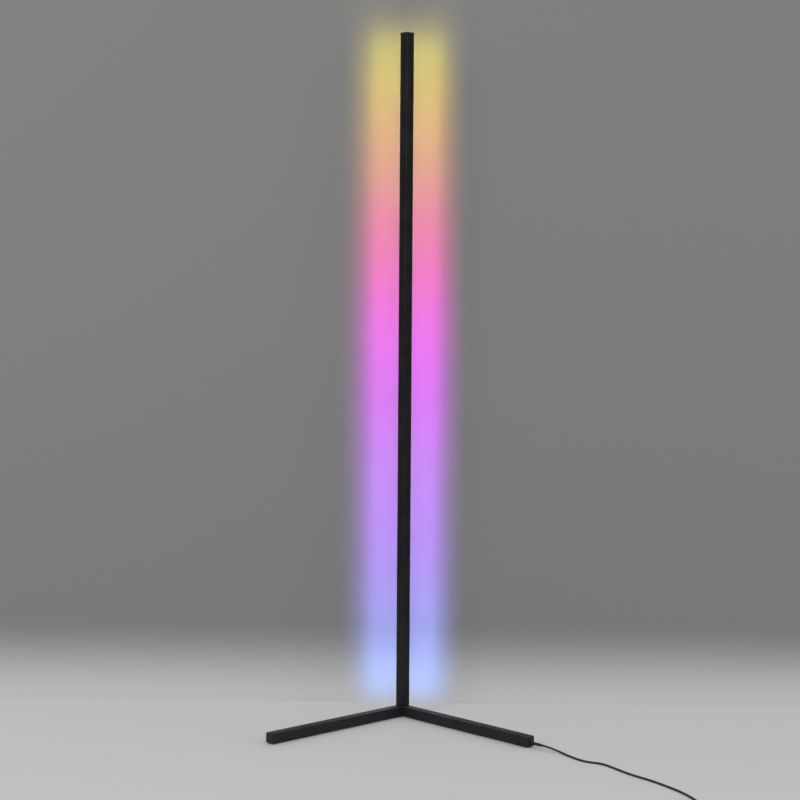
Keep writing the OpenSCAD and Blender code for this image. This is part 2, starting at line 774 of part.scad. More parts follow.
// a moulded sleeve at each end of the case, held between the base and the lid by its flange
module controller_reliefs() {
    color([0.05, 0.05, 0.05]) at_case() for (turn = [0, 180]) rotate([0, 0, turn])
        translate([case_l / 2, 0, case_lead_z]) rotate([0, 90, 0]) {
            translate([0, 0, -case_in - case_flange_t]) cylinder(h = case_flange_t, d = case_flange_d);
            translate([0, 0, -case_in - cut]) cylinder(h = case_in + cut, d = case_neck_d);
            boot(case_neck_d, cord_d + sleeve_over, case_relief_l, sleeve_slots);
        }
}

// a button with a dished cap, a flange under the lid and a stem over its switch
module button(k) {
    r = button_d / 2;
    e = button_edge_r;
    dish_r = ((r - dish_rim) * (r - dish_rim) + dish_depth * dish_depth) / (2 * dish_depth);
    dish_a = asin((r - dish_rim) / dish_r);
    color([0.16, 0.16, 0.17]) at_case() translate([k * button_pitch, 0, 0]) rotate_extrude() polygon(concat([
        [0, stem_z],
        [stem_r, stem_z],
        [stem_r, flange_top - flange_t],
        [r + flange_w, flange_top - flange_t],
        [r + flange_w, flange_top],
        [r, flange_top]],
        arc([r - e, button_top - e], e, 0, 90),
        arc([0, button_top - dish_depth + dish_r], dish_r, dish_a - 90, -90)));
}

// ---- coil ----

// radius and height of the coil after t turns
function coil_r(t) = t < coil_turns ? coil_out_r - coil_pitch * t :
    t < coil_turns + 0.5 ? coil_in_r - coil_dip * sin(360 * (t - coil_turns)) :
    coil_in_r + coil_pitch * (t - coil_turns - 0.5);

function coil_z(t) = layer_zs[0] + (layer_zs[1] - layer_zs[0]) * ease(max(0, min(1, 2 * (t - coil_turns))));

coil_all = 2 * coil_turns + 0.5;
coil_wound = [for (i = [0:coil_all * coil_rings])
    let (t = i / coil_rings, a = 90 + 360 * t)
    [coil_centre.x + coil_r(t) * cos(a), coil_centre.y + coil_r(t) * sin(a), coil_z(t)]];
coil_in = [for (i = [0:coil_end_steps - 1])
    let (s = i / coil_end_steps)
    [case_at.x - case_tip - cord_d - (coil_run - cord_d) * s, case_at.y,
        case_lead_z + (layer_zs[0] - case_lead_z) * ease(s)]];
coil_out = [for (i = [1:coil_end_steps])
    let (s = i / coil_end_steps)
    [coil_centre.x + (coil_tail - cord_d) * s, coil_centre.y - coil_out_r,
        layer_zs[1] + (plug_axis_z - layer_zs[1]) * ease(s)]];
coil_path = concat([coil_in[0] + [cord_d, 0, 0]], coil_in, coil_wound,
    coil_out, [coil_out[coil_end_steps - 1] + [cord_d, 0, 0]]);
coil_least_gap = min([for (i = [0:len(coil_wound) - 1 - coil_rings / 2])
    for (j = [i + coil_rings / 2:len(coil_wound) - 1]) norm(coil_wound[i] - coil_wound[j])]) - cord_d;
echo(coil_least_gap_mm = coil_least_gap, coil_mm = path_l(coil_path), coil_rings = len(coil_path));

module cord_coil() {
    color([0.05, 0.05, 0.05]) tube(coil_path, cord_d, coil_sides);
}

// a flat band round all the turns, on the side of the coil away from the controller
module coil_tie() {
    inner = coil_in_r - cord_d / 2 - tie_gap;
    outer = coil_out_r + cord_d / 2;
    top = layer_zs[1] + cord_d / 2 + tie_gap;
    w = outer - inner;
    at = [coil_centre.x - (inner + outer) / 2, coil_centre.y, (top + tie_t) / 2];
    color([0.08, 0.08, 0.08]) translate(at)
        rotate([90, 0, 0]) translate([0, 0, -tie_w / 2]) linear_extrude(tie_w) difference() {
            polygon(rounded(w + 2 * tie_t, top + tie_t, tie_r + tie_t));
            polygon(rounded(w, top - tie_t, tie_r));
        }
}

// ---- plug ----

module plug_body() {
    color([0.05, 0.05, 0.05]) translate([plug_start, plug_at.y, plug_axis_z]) {
        difference() {
            intersection() {
                translate([plug_l / 2, 0, -plug_h]) linear_extrude(2 * plug_h)
                    polygon(rounded(plug_l, plug_w, plug_r));
                translate([plug_l / 2, plug_w, 0]) rotate([90, 0, 0])
                    linear_extrude(2 * plug_w) polygon(rounded(plug_l, plug_h, plug_edge_r));
                rotate([90, 0, 90]) linear_extrude(plug_l) polygon(rounded(plug_w, plug_h, plug_edge_r));
            }
            translate([plug_l - shell_in - case_fit, -shell_w / 2 - case_fit, -shell_h / 2 - case_fit])
                cube([shell_in + case_fit + cut, shell_w + 2 * case_fit, shell_h + 2 * case_fit]);
        }
        translate([cut, 0, 0]) rotate([0, -90, 0])
            boot(plug_relief_d, cord_d + sleeve_over, plug_relief_l + cut, sleeve_slots);
    }
}

module plug_shell() {
    full = shell_l + shell_in;
    inner_end = plug_start + plug_l - shell_in;
    color([0.75, 0.75, 0.77]) translate([inner_end, plug_at.y, plug_axis_z]) difference() {
        translate([0, -shell_w / 2, -shell_h / 2]) cube([full, shell_w, shell_h]);
        translate([shell_t, shell_t - shell_w / 2, shell_t - shell_h / 2])
            cube([full, shell_w - 2 * shell_t, shell_h - 2 * shell_t]);
        for (y = [-shell_window_y, shell_window_y])
            translate([full - shell_window_in - shell_window / 2, y - shell_window / 2, -shell_h])
                cube([shell_window, shell_window, 2 * shell_h]);
    }
}

module plug_tongue() {
    w = shell_w - 2 * (shell_t + tongue_gap);
    color([0.9, 0.9, 0.9]) translate([plug_start + plug_l - shell_in + shell_t, plug_at.y - w / 2, tongue_z])
        cube([shell_l + shell_in - shell_t - tongue_in, w, tongue_t]);
}

module plug_contacts() {
    x = plug_start + plug_l + shell_l - tongue_in - contact_in - contact_l;
    color([0.85, 0.68, 0.3]) for (k = [-1.5:1.5])
        translate([x, plug_at.y + k * contact_pitch - contact_w / 2, tongue_z - contact_t])
            cube([contact_l, contact_w, contact_t]);
}

corner_block();
leg(left_leg_angle);  // left_leg
leg(right_leg_angle);  // right_leg
leg_cap(left_leg_angle, false);  // left_leg_cap
leg_cap(right_leg_angle, true);  // right_leg_cap
leg_screws();
foot_pads();
pole_section(1);  // pole_section_1
pole_section(2);  // pole_section_2
pole_section(3);  // pole_section_3
pole_section(4);  // pole_section_4
pole_joiners();
pole_screws();
top_cap();
diffuser();
light_strip();
led_packages();
strain_relief();
inner_lead();
lamp_cord();
controller_base();
controller_lid();
controller_board();
controller_chip();
controller_switches();
controller_reliefs();
button(1);  // power_button
button(0);  // colour_button
button(-1);  // brightness_button
cord_coil();
coil_tie();
plug_body();
plug_shell();
plug_tongue();
plug_contacts();
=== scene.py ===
# %% [markdown]
# # A corner floor lamp
#
# The lamp is a slim square pole on an L of two low legs. It stands in the corner of a room with its lit
# edge to the walls, so from the room it reads as a black line against its own light. This lesson dresses
# the measured parts: it brings them in, sets the camera and the cord, builds the finishes from small
# shared pieces, softens the edges that the hand would feel, and lights the result.

import json
import math

import bmesh
import bpy
from mathutils import Matrix, Vector


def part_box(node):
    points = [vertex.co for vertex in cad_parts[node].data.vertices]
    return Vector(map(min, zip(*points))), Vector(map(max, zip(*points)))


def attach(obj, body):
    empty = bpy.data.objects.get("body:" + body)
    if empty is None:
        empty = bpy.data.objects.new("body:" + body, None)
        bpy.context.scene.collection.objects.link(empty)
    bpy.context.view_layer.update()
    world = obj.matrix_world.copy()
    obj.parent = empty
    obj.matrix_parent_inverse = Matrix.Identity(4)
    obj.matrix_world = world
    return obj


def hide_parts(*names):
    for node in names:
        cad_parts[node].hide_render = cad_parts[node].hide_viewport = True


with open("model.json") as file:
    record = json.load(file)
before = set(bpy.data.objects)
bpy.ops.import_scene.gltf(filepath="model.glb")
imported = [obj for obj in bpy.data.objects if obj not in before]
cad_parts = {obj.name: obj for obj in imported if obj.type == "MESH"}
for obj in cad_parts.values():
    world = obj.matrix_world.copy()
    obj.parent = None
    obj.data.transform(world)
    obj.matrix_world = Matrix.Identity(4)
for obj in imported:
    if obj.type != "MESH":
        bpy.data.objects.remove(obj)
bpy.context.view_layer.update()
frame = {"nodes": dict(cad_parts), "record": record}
nodes = frame["nodes"]

# %% [markdown]
# The camera stands about 3.5 m in front of the lamp at 0.84 m, a little to its right, and looks slightly
# down. Its place was worked out from the edges of the pole and of the legs, whose real sizes are known.
# Two directions, forward and up, fix its turn without any angles to add up.

# %% Camera
camera_at = Vector((0.0713, -3.5478, 0.8370))
camera_forward = Vector((-0.02287, 0.99858, -0.04822)).normalized()
camera_up = Vector((-0.00808, 0.04804, 0.99881))


def make_camera(lens_mm=76.5, sensor_mm=36.0):
    right = camera_forward.cross(camera_up).normalized()
    up = right.cross(camera_forward)
    turn = Matrix((right, up, -camera_forward)).transposed().to_4x4()
    camera = bpy.data.objects.new("camera", bpy.data.cameras.new("camera"))
    camera.data.sensor_width = sensor_mm
    camera.data.lens = lens_mm
    camera.matrix_world = Matrix.Translation(camera_at) @ turn
    bpy.context.scene.collection.objects.link(camera)
    bpy.context.scene.camera = camera
    return camera


camera = make_camera()
print("camera", camera.data.lens, "mm lens at", tuple(round(x, 3) for x in camera.location))

# %% [markdown]
# A cord is a fixed length of something flexible, so its centre line comes first. The points are chosen
# along the floor, and a Catmull-Rom curve runs through them: each stretch is a cubic that leaves and
# arrives in the direction of its neighbours, which gives smooth bends without any handles.

# %% A smooth line through points
def through(a, b, c, d, s):
    square, cube = 2 * a - 5 * b + 4 * c - d, 3 * b - a - 3 * c + d
    return 0.5 * (2 * b + (c - a) * s + square * s * s + cube * s**3)


def smooth_line(points, steps):
    last = len(points) - 1
    line = []
    for i in range(last):
        a, b = points[max(i - 1, 0)], points[i]
        c, d = points[i + 1], points[min(i + 2, last)]
        line += [through(a, b, c, d, k / steps) for k in range(steps)]
    return line + [points[last]]


def line_length(line):
    return sum((b - a).length for a, b in zip(line, line[1:]))


print("a smooth line is ready for the cord")

# %% [markdown]
# The cord leaves the right leg straight on through its strain relief, sinks to the floor within a few
# centimetres, makes one small S and wanders off to the right. Just outside the picture it turns round and
# enters the in-line controller from its far end, as a cord does when it is put down. A smooth curve dips a
# hair below its points after the descent, so the line is held at the height of a cord lying on the floor.

# %% The cord's line from the leg to the controller
cord_d = 0.004
leg_way = Vector((math.sqrt(0.5), -math.sqrt(0.5), 0))
relief_end, exit_z = 0.392, 0.0095
relief_tip = relief_end * leg_way + Vector((0, 0, exit_z))
case_middle = Vector((0.444, -0.680, 0.005))
case_tip = Vector((0.040, 0, 0))
lamp_route = [
    (0.290, -0.286, 0.008), (0.299, -0.292, 0.006), (0.312, -0.304, 0.0034), (0.325, -0.324, 0.0021),
    (0.338, -0.345, 0.002), (0.351, -0.361, 0.002), (0.365, -0.370, 0.002), (0.378, -0.376, 0.002),
    (0.390, -0.388, 0.002), (0.402, -0.407, 0.002), (0.415, -0.429, 0.002), (0.429, -0.451, 0.002),
    (0.443, -0.469, 0.002), (0.457, -0.486, 0.002), (0.471, -0.506, 0.002), (0.485, -0.528, 0.002),
    (0.499, -0.552, 0.002), (0.511, -0.577, 0.002), (0.520, -0.602, 0.002), (0.526, -0.627, 0.002),
    (0.526, -0.650, 0.002), (0.516, -0.668, 0.0022), (0.502, -0.677, 0.0032), (0.494, -0.680, 0.0046),
]
along_x = Vector((cord_d, 0, 0))
case_entry = case_middle + case_tip
lamp_points = [relief_tip, relief_tip + cord_d * leg_way]
lamp_points += [Vector(p) for p in lamp_route] + [case_entry + along_x, case_entry]
lamp_line = smooth_line(lamp_points, steps=6)
for point in lamp_line:
    point.z = max(point.z, cord_d / 2)
print("lamp cord", round(line_length(lamp_line), 4), "m")

# %% [markdown]
# The rest of the lead is put away as a round coil of two layers. It spirals in, climbs to the second layer
# in the half turn where the spiral turns back, and spirals out again on top, so every turn has the same
# gap to its neighbours. Two short formulas, one for the radius and one for the height, say all of that.

# %% The coil's line
coil_gap = 0.0006
coil_turns = 3.5
coil_in_r = 0.016
coil_dip = 0.0008
coil_run = 0.040
coil_tail = 0.030
plug_axis_z = 0.0045
coil_pitch = cord_d + coil_gap
coil_out_r = coil_in_r + coil_pitch * coil_turns
coil_middle = case_middle - case_tip - Vector((coil_run, coil_out_r, 0))


def ease(s):
    s = max(0.0, min(1.0, s))
    return s * s * (3 - 2 * s)


def coil_radius(t):
    if t < coil_turns:
        return coil_out_r - coil_pitch * t
    if t < coil_turns + 0.5:
        return coil_in_r - coil_dip * math.sin(2 * math.pi * (t - coil_turns))
    return coil_in_r + coil_pitch * (t - coil_turns - 0.5)


def coil_point(t):
    angle = math.pi / 2 + 2 * math.pi * t
    outwards = Vector((math.cos(angle), math.sin(angle), 0))
    height = cord_d / 2 + coil_pitch * ease(2 * (t - coil_turns))
    return Vector((coil_middle.x, coil_middle.y, height)) + coil_radius(t) * outwards


def coil_line(steps=48, end_steps=12):
    start = case_middle - case_tip
    low, high = cord_d / 2, cord_d / 2 + coil_pitch
    line = [start]
    for i in range(end_steps):
        s = i / end_steps
        line.append(start - along_x - Vector(((coil_run - cord_d) * s, 0, (start.z - low) * ease(s))))
    line += [coil_point(i / steps) for i in range(round((2 * coil_turns + 0.5) * steps) + 1)]
    top = Vector((coil_middle.x, coil_middle.y - coil_out_r, high))
    for i in range(1, end_steps + 1):
        s = i / end_steps
        line.append(top + Vector(((coil_tail - cord_d) * s, 0, (plug_axis_z - high) * ease(s))))
    return line + [line[-1] + along_x]


supply_line = coil_line()
print("supply cord", round(line_length(supply_line), 4), "m")

# %% [markdown]
# What repeats or follows a line is made by Geometry Nodes. Every tree here begins with named inputs for its
# sizes and ends the same way: its copies are made real, because copies that are only instances are lost
# when the lamp leaves Blender, and then they are shaded smooth and given their material.

# %% The start and the end of every tree
def add_links(tree, *links):
    for a, out_name, b, in_name in links:
        tree.links.new(a.outputs[out_name], b.inputs[in_name])


def add_socket(tree, side, label, kind, value=None):
    socket = tree.interface.new_socket(label, in_out=side, socket_type="NodeSocket" + kind)
    if value is not None:
        socket.default_value = value


def new_tree(name, *sizes):
    tree = bpy.data.node_groups.new(name, "GeometryNodeTree")
    for label, kind in (("Geometry", "Geometry"), *sizes, ("Material", "Material")):
        add_socket(tree, "INPUT", label, kind)
    add_socket(tree, "OUTPUT", "Geometry", "Geometry")
    return tree, tree.nodes.new("NodeGroupInput"), tree.nodes.new("NodeGroupOutput")


def end_tree(tree, start, last, end, out_name):
    smooth = tree.nodes.new("GeometryNodeSetShadeSmooth")
    real = tree.nodes.new("GeometryNodeRealizeInstances")
    dress = tree.nodes.new("GeometryNodeSetMaterial")
    add_links(
        tree, (last, out_name, real, "Geometry"), (real, "Geometry", smooth, "Geometry"),
        (smooth, "Geometry", dress, "Geometry"), (start, "Material", dress, "Material"),
        (dress, "Geometry", end, "Geometry"),
    )
    return tree


print("a tree ends in real, smooth, dressed geometry")

# %% [markdown]
# Both cords are made by one small tree, because a cord is a rule: carry a circle along a line. Its sizes
# are inputs, so it serves both cords, and later the raised marks on the buttons as well. It also stores
# how far along the line each point lies, for the cord's finish to use.

# %% A tree that sweeps a circle along a line
def sweep_tree():
    tree, start, end = new_tree("sweep_along_line", ("Radius", "Float"), ("Sides", "Int"))
    measure = tree.nodes.new("GeometryNodeSplineParameter")
    keep = tree.nodes.new("GeometryNodeCaptureAttribute")
    keep.capture_items.new("FLOAT", "Length")
    circle = tree.nodes.new("GeometryNodeCurvePrimitiveCircle")
    sweep = tree.nodes.new("GeometryNodeCurveToMesh")
    sweep.inputs["Fill Caps"].default_value = True
    store = tree.nodes.new("GeometryNodeStoreNamedAttribute")
    store.inputs["Name"].default_value = "along"
    add_links(
        tree, (start, "Geometry", keep, "Geometry"), (measure, "Length", keep, "Length"),
        (start, "Sides", circle, "Resolution"), (start, "Radius", circle, "Radius"),
        (keep, "Geometry", sweep, "Curve"), (circle, "Curve", sweep, "Profile Curve"),
        (sweep, "Mesh", store, "Geometry"), (keep, "Length", store, "Value"),
    )
    return end_tree(tree, start, store, end, "Geometry")


sweep = sweep_tree()
print("tree", sweep.name, "has", len(sweep.nodes), "nodes")

# %% [markdown]
# The second tree sets out a row: it copies whatever shape its host holds, a number of times, one step
# apart. The gel in the light packages, the pads on the strip and the grips on the plug are all rows.

# %% A tree that sets out a row
def row_tree():
    tree, start, end = new_tree("row_of_copies", ("Count", "Int"), ("Step", "Vector"))
    line = tree.nodes.new("GeometryNodeMeshLine")
    copies = tree.nodes.new("GeometryNodeInstanceOnPoints")
    add_links(
        tree, (start, "Count", line, "Count"), (start, "Step", line, "Offset"),
        (line, "Mesh", copies, "Points"), (start, "Geometry", copies, "Instance"),
    )
    return end_tree(tree, start, copies, end, "Instances")


row = row_tree()
print("tree", row.name, "has", len(row.nodes), "nodes")

# %% [markdown]
# A modifier's inputs are set by each socket's identifier. This helper looks the identifiers up by name,
# runs the tree on a host object, and hands back a plain mesh. The host is only a carrier and is removed.

# %% Running a tree
def run_tree(host, tree, **values):
    modifier = host.modifiers.new(tree.name, "NODES")
    modifier.node_group = tree
    sockets = {s.name: s.identifier for s in tree.interface.items_tree if s.in_out == "INPUT"}
    for label, value in values.items():
        modifier[sockets[label]] = value
    bpy.context.view_layer.update()
    shown = host.evaluated_get(bpy.context.evaluated_depsgraph_get())
    mesh = bpy.data.meshes.new_from_object(shown)
    host.modifiers.remove(modifier)
    bpy.data.objects.remove(host)
    return mesh


print("a tree can be run on any host object")

# %% [markdown]
# A finished piece stands at the origin with its place in its mesh and rides on one body of the lamp. A
# round piece starts as plain lines, which the first tree sweeps.

# %% Finished pieces
def link_object(name, data):
    thing = bpy.data.objects.new(name, data)
    bpy.context.scene.collection.objects.link(thing)
    return thing


def finished_piece(name, mesh, body):
    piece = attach(link_object(name, mesh), body)
    return piece


def lines_object(name, lines):
    curve = bpy.data.curves.new(name, "CURVE")
    curve.dimensions = "3D"
    for line in lines:
        spline = curve.splines.new("POLY")
        spline.points.add(len(line) - 1)
        for point, place in zip(spline.points, line):
            point.co = (*place, 1)
    return link_object(name, curve)


def swept_piece(name, lines, diameter, sides, slot, body):
    host = lines_object(name + "_lines", lines)
    mesh = run_tree(host, sweep, Radius=diameter / 2, Sides=sides, Material=finishes[slot])
    mesh.name = name
    return finished_piece(name, mesh, body)


print("pieces can be finished")

# %% [markdown]
# ## Finishes
#
# Almost everything on this lamp is black, so the finishes differ in what the light does: how rough they
# are, how fine their grain is, how much dust has settled, and whether hands have rubbed the edges. Those
# effects are shared node groups with named inputs, and each material places them with its own values.

# %% Node group helpers
def shader_group(name, outputs, *inputs):
    tree = bpy.data.node_groups.new(name, "ShaderNodeTree")
    for label, kind, value in (("Vector", "Vector", None), *inputs):
        add_socket(tree, "INPUT", label, kind, value)
    for label in outputs:
        add_socket(tree, "OUTPUT", label, "Float")
    return tree, tree.nodes.new("NodeGroupInput"), tree.nodes.new("NodeGroupOutput")


def feed(tree, socket, value):
    if isinstance(value, bpy.types.NodeSocket):
        tree.links.new(value, socket)
    elif value is not None:
        socket.default_value = value


def maths(tree, operation, a, b=None, clamp=False):
    node = tree.nodes.new("ShaderNodeMath")
    node.operation = operation
    node.use_clamp = clamp
    feed(tree, node.inputs[0], a)
    feed(tree, node.inputs[1], b)
    return node.outputs[0]


def times(tree, a, b, clamp=False):
    return maths(tree, "MULTIPLY", a, b, clamp)


def noise(tree, vector, scale, detail=2.0, roughness=0.5):
    node = tree.nodes.new("ShaderNodeTexNoise")
    node.inputs["Detail"].default_value = detail
    node.inputs["Roughness"].default_value = roughness
    tree.links.new(vector, node.inputs["Vector"])
    feed(tree, node.inputs["Scale"], scale)
    return node.outputs["Fac"]


def ranged(tree, value, low, high, to_low=0.0, to_high=1.0):
    node = tree.nodes.new("ShaderNodeMapRange")
    labels = ("Value", "From Min", "From Max", "To Min", "To Max")
    for label, given in zip(labels, (value, low, high, to_low, to_high)):
        feed(tree, node.inputs[label], given)
    return node.outputs[0]


def axes(tree, vector):
    split = tree.nodes.new("ShaderNodeSeparateXYZ")
    tree.links.new(vector, split.inputs[0])
    return split.outputs


print("helpers for node groups are ready")

# %% [markdown]
# Grain is the fine texture that a mould, a powder or a die leaves. Stretching the coordinates before the
# noise turns round grains into the long draw lines of an extrusion, so one group does both.

# %% Shared effect: grain
def grain_group(broad_scale=14.0, fine_share=0.45, lowest=0.35, highest=0.65):
    tree, into, out = shader_group(
        "grain", ("Height", "Roughness"), ("Stretch", "Vector", (1.0, 1.0, 1.0)),
        ("Scale", "Float", 1500.0), ("Low", "Float", 0.4), ("High", "Float", 0.5),
    )
    stretch = tree.nodes.new("ShaderNodeVectorMath")
    stretch.operation = "MULTIPLY"
    add_links(tree, (into, "Vector", stretch, 0), (into, "Stretch", stretch, 1))
    fine = noise(tree, stretch.outputs[0], into.outputs["Scale"])
    broad = noise(tree, into.outputs["Vector"], broad_scale, 3.0)
    fine_part = times(tree, fine, fine_share)
    mixed = maths(tree, "ADD", fine_part, times(tree, broad, 1 - fine_share))
    rough = ranged(tree, mixed, lowest, highest, into.outputs["Low"], into.outputs["High"])
    tree.links.new(fine, out.inputs["Height"])
    tree.links.new(rough, out.inputs["Roughness"])
    return tree


grain = grain_group()
print("shared effect:", grain.name)

# %% [markdown]
# Dust settles on what faces up, in soft patches with a few bright specks. Rubbed edges come from the mesh:
# the softened copies further down mark their narrow edge faces with an attribute, and the group breaks that
# band up with noise, so that the wear comes and goes.

# %% Shared effects: dust and rubbed edges
def dust_group(steep=3.0, patch_scale=60.0, speck_scale=2600.0, speck_range=(0.68, 0.82), speck_share=0.6):
    tree, into, out = shader_group("settled_dust", ("Mask",), ("Amount", "Float", 0.3))
    normal = tree.nodes.new("ShaderNodeNewGeometry").outputs["Normal"]
    faces_up = maths(tree, "POWER", maths(tree, "MAXIMUM", axes(tree, normal)["Z"], 0.0), steep)
    patches = noise(tree, into.outputs["Vector"], patch_scale, 4.0, 0.6)
    specks = ranged(tree, noise(tree, into.outputs["Vector"], speck_scale, 1.0), *speck_range)
    cover = maths(tree, "ADD", patches, times(tree, specks, speck_share))
    settled = times(tree, faces_up, cover)
    mask = times(tree, settled, into.outputs["Amount"], clamp=True)
    tree.links.new(mask, out.inputs["Mask"])
    return tree


def rubbed_group(patch_scale=90.0, patch_range=(0.42, 0.62)):
    tree, into, out = shader_group(
        "rubbed_edges", ("Mask",), ("Edge", "Float", 0.0), ("Amount", "Float", 0.3),
    )
    patches = ranged(tree, noise(tree, into.outputs["Vector"], patch_scale, 4.0, 0.65), *patch_range)
    edge = times(tree, into.outputs["Edge"], patches)
    mask = times(tree, edge, into.outputs["Amount"])
    tree.links.new(mask, out.inputs["Mask"])
    return tree


dust, rubbed = dust_group(), rubbed_group()
print("shared effects:", dust.name, rubbed.name)

# %% [markdown]
# A material here is one Principled shader and the few nodes that feed it. These helpers start one, mix two
# colours by a mask, place a shared effect in it, and turn a height into a bump.

# %% Helpers for materials
dust_colour = (0.30, 0.285, 0.265)


def grey(level, blue=0.0):
    return (level, level, level + blue)


def new_material(name):
    material = bpy.data.materials.new(name)
    material.use_nodes = True
    tree = material.node_tree
    shader = tree.nodes["Principled BSDF"]
    place = tree.nodes.new("ShaderNodeTexCoord").outputs["Object"]
    return material, tree, shader, place


def mix_colour(tree, factor, a, b):
    node = tree.nodes.new("ShaderNodeMix")
    node.data_type = "RGBA"
    tree.links.new(factor, node.inputs["Factor"])
    for socket, value in ((node.inputs[6], a), (node.inputs[7], b)):
        feed(tree, socket, value if isinstance(value, bpy.types.NodeSocket) else (*value[:3], 1))
    return node.outputs[2]


def placed(tree, group, vector, **values):
    node = tree.nodes.new("ShaderNodeGroup")
    node.node_tree = group
    tree.links.new(vector, node.inputs["Vector"])
    for label, value in values.items():
        feed(tree, node.inputs[label], value)
    return node


def attribute(tree, name):
    node = tree.nodes.new("ShaderNodeAttribute")
    node.attribute_name = name
    return node.outputs["Fac"]


def dusted(tree, shade, place, amount):
    mask = placed(tree, dust, place, Amount=amount).outputs["Mask"]
    return mix_colour(tree, mask, shade, dust_colour)


def drive(tree, shader, shade, roughness, height, bump_mm):
    bump = tree.nodes.new("ShaderNodeBump")
    bump.inputs["Distance"].default_value = bump_mm / 1000
    tree.links.new(height, bump.inputs["Height"])
    sources = {"Normal": bump.outputs[0], "Base Color": shade, "Roughness": roughness}
    for label, value in sources.items():
        tree.links.new(value, shader.inputs[label])


print("helpers for materials are ready")

# %% [markdown]
# One builder makes every plain finish. It mixes two near shades by a broad noise and by the grain, shows a
# brighter and smoother shade where edges are rubbed, lays the dust over both, and sends the grain to a bump
# as well. A finish is given as its two shades, its least and most roughness, the size of its grain and the
# height of its bumps in millimetres, and, where it has them, dust, wear and numbers for the shader's own
# sockets, which are the same all over.

# %% The finish builder
cloud_scale, cloud_range = 30.0, (0.75, 1.25)
rub_shine = 0.12


def finish_of(
    name, dark, light, rough, grain_mm, bump_mm, stretch=(1, 1, 1), dusty=0, worn=None, **sockets
):
    material, tree, shader, place = new_material(name)
    scale, (low, high) = 1000.0 / grain_mm, rough
    texture = placed(tree, grain, place, Scale=scale, Stretch=stretch, Low=low, High=high)
    cloudy = maths(tree, "ADD", noise(tree, place, cloud_scale, 3.0), texture.outputs["Height"])
    shade = mix_colour(tree, ranged(tree, cloudy, *cloud_range), dark, light)
    roughness = texture.outputs["Roughness"]
    if worn:
        amount, bright = worn
        rub = placed(tree, rubbed, place, Edge=attribute(tree, "edge"), Amount=amount).outputs["Mask"]
        shade = mix_colour(tree, rub, shade, bright)
        roughness = maths(tree, "SUBTRACT", roughness, times(tree, rub, rub_shine))
    if dusty:
        shade = dusted(tree, shade, place, dusty)
    drive(tree, shader, shade, roughness, texture.outputs["Height"], bump_mm)
    for label, value in sockets.items():
        shader.inputs[label.replace("_", " ")].default_value = value
    return material


print("the finish builder is ready")

# %% [markdown]
# The pole is extruded aluminium, anodised black: its draw lines run up it, and where the dye is rubbed it
# turns a warmer grey. The legs and the block are steel under black powder coat, which dries with a slight
# orange peel. The caps, the controller and the plug are moulded, with a fine spark-eroded texture.

# %% Black finishes
DIM = 0.3  # specular level of a matt black surface, under the usual 0.5
finishes = {
    "black_aluminium": finish_of(
        "black_anodised", grey(0.005, 0.001), grey(0.016, 0.001), (0.28, 0.42), 0.35, 0.03,
        stretch=(1, 1, 0.012), dusty=0.05, worn=(0.35, (0.07, 0.066, 0.06)),
        Metallic=0.4, Specular_IOR_Level=DIM,
    ),
    "black_steel": finish_of(
        "black_powder_coat", grey(0.005, 0.001), grey(0.014, 0.001), (0.40, 0.55), 0.9, 0.10,
        dusty=0.1, worn=(0.25, grey(0.05)), Specular_IOR_Level=DIM,
    ),
    "black_plastic": finish_of(
        "black_moulding", grey(0.007), grey(0.016), (0.45, 0.6), 0.4, 0.05,
        dusty=0.1, worn=(0.2, grey(0.04)), Specular_IOR_Level=DIM,
    ),
    "case_plastic": finish_of(
        "case_moulding", grey(0.009, 0.001), grey(0.020, 0.001), (0.46, 0.6), 0.35, 0.05,
        dusty=0.12, worn=(0.3, grey(0.05)), Specular_IOR_Level=0.4,
    ),
    "plug_vinyl": finish_of(
        "plug_vinyl", grey(0.008), grey(0.018, 0.001), (0.42, 0.55), 0.4, 0.04,
        dusty=0.08, worn=(0.2, grey(0.04)), Specular_IOR_Level=0.4,
    ),
    "pad_rubber": finish_of(
        "pad_rubber", grey(0.016), (0.028, 0.027, 0.026), (0.75, 0.9), 0.5, 0.03,
    ),
    "button_rubber": finish_of(
        "button_rubber", grey(0.06, 0.003), grey(0.085, 0.005), (0.6, 0.75), 0.4, 0.015, dusty=0.1,
    ),
    "chip_resin": finish_of(
        "chip_moulding", grey(0.02), grey(0.03), (0.5, 0.6), 0.1, 0.01,
    ),
}
print(len(finishes), "black finishes")

# %% [markdown]
# The bright parts are few: sawn aluminium joiners, plated screws, the plug's nickel sheet and gilt
# contacts, and the white strip with its packages. Metals take their colour from the base colour with
# Metallic at 1.

# %% Bright finishes
finishes["bare_aluminium"] = finish_of(
    "sawn_aluminium", (0.5, 0.51, 0.52), (0.66, 0.67, 0.68), (0.3, 0.45), 0.2, 0.01,
    stretch=(1, 1, 0.05), Metallic=1.0,
)
finishes["screw_steel"] = finish_of(
    "plated_steel", grey(0.35, 0.02), grey(0.5, 0.02), (0.25, 0.38), 0.2, 0.005, Metallic=1.0,
)
finishes["plug_steel"] = finish_of(
    "nickel_sheet", (0.6, 0.6, 0.62), (0.72, 0.71, 0.7), (0.14, 0.26), 0.3, 0.004,
    worn=(0.3, (0.8, 0.79, 0.77)), Metallic=1.0,
)
finishes["contact_brass"] = finish_of(
    "gold_flash", (0.75, 0.55, 0.2), (0.86, 0.68, 0.32), (0.2, 0.3), 0.2, 0.004, Metallic=1.0,
)
finishes["tongue_plastic"] = finish_of(
    "white_moulding", grey(0.76, -0.01), grey(0.84, -0.01), (0.4, 0.5), 0.3, 0.01,
)
finishes["board_resin"] = finish_of(
    "green_board", (0.02, 0.12, 0.05), (0.03, 0.18, 0.07), (0.25, 0.4), 0.8, 0.02,
)
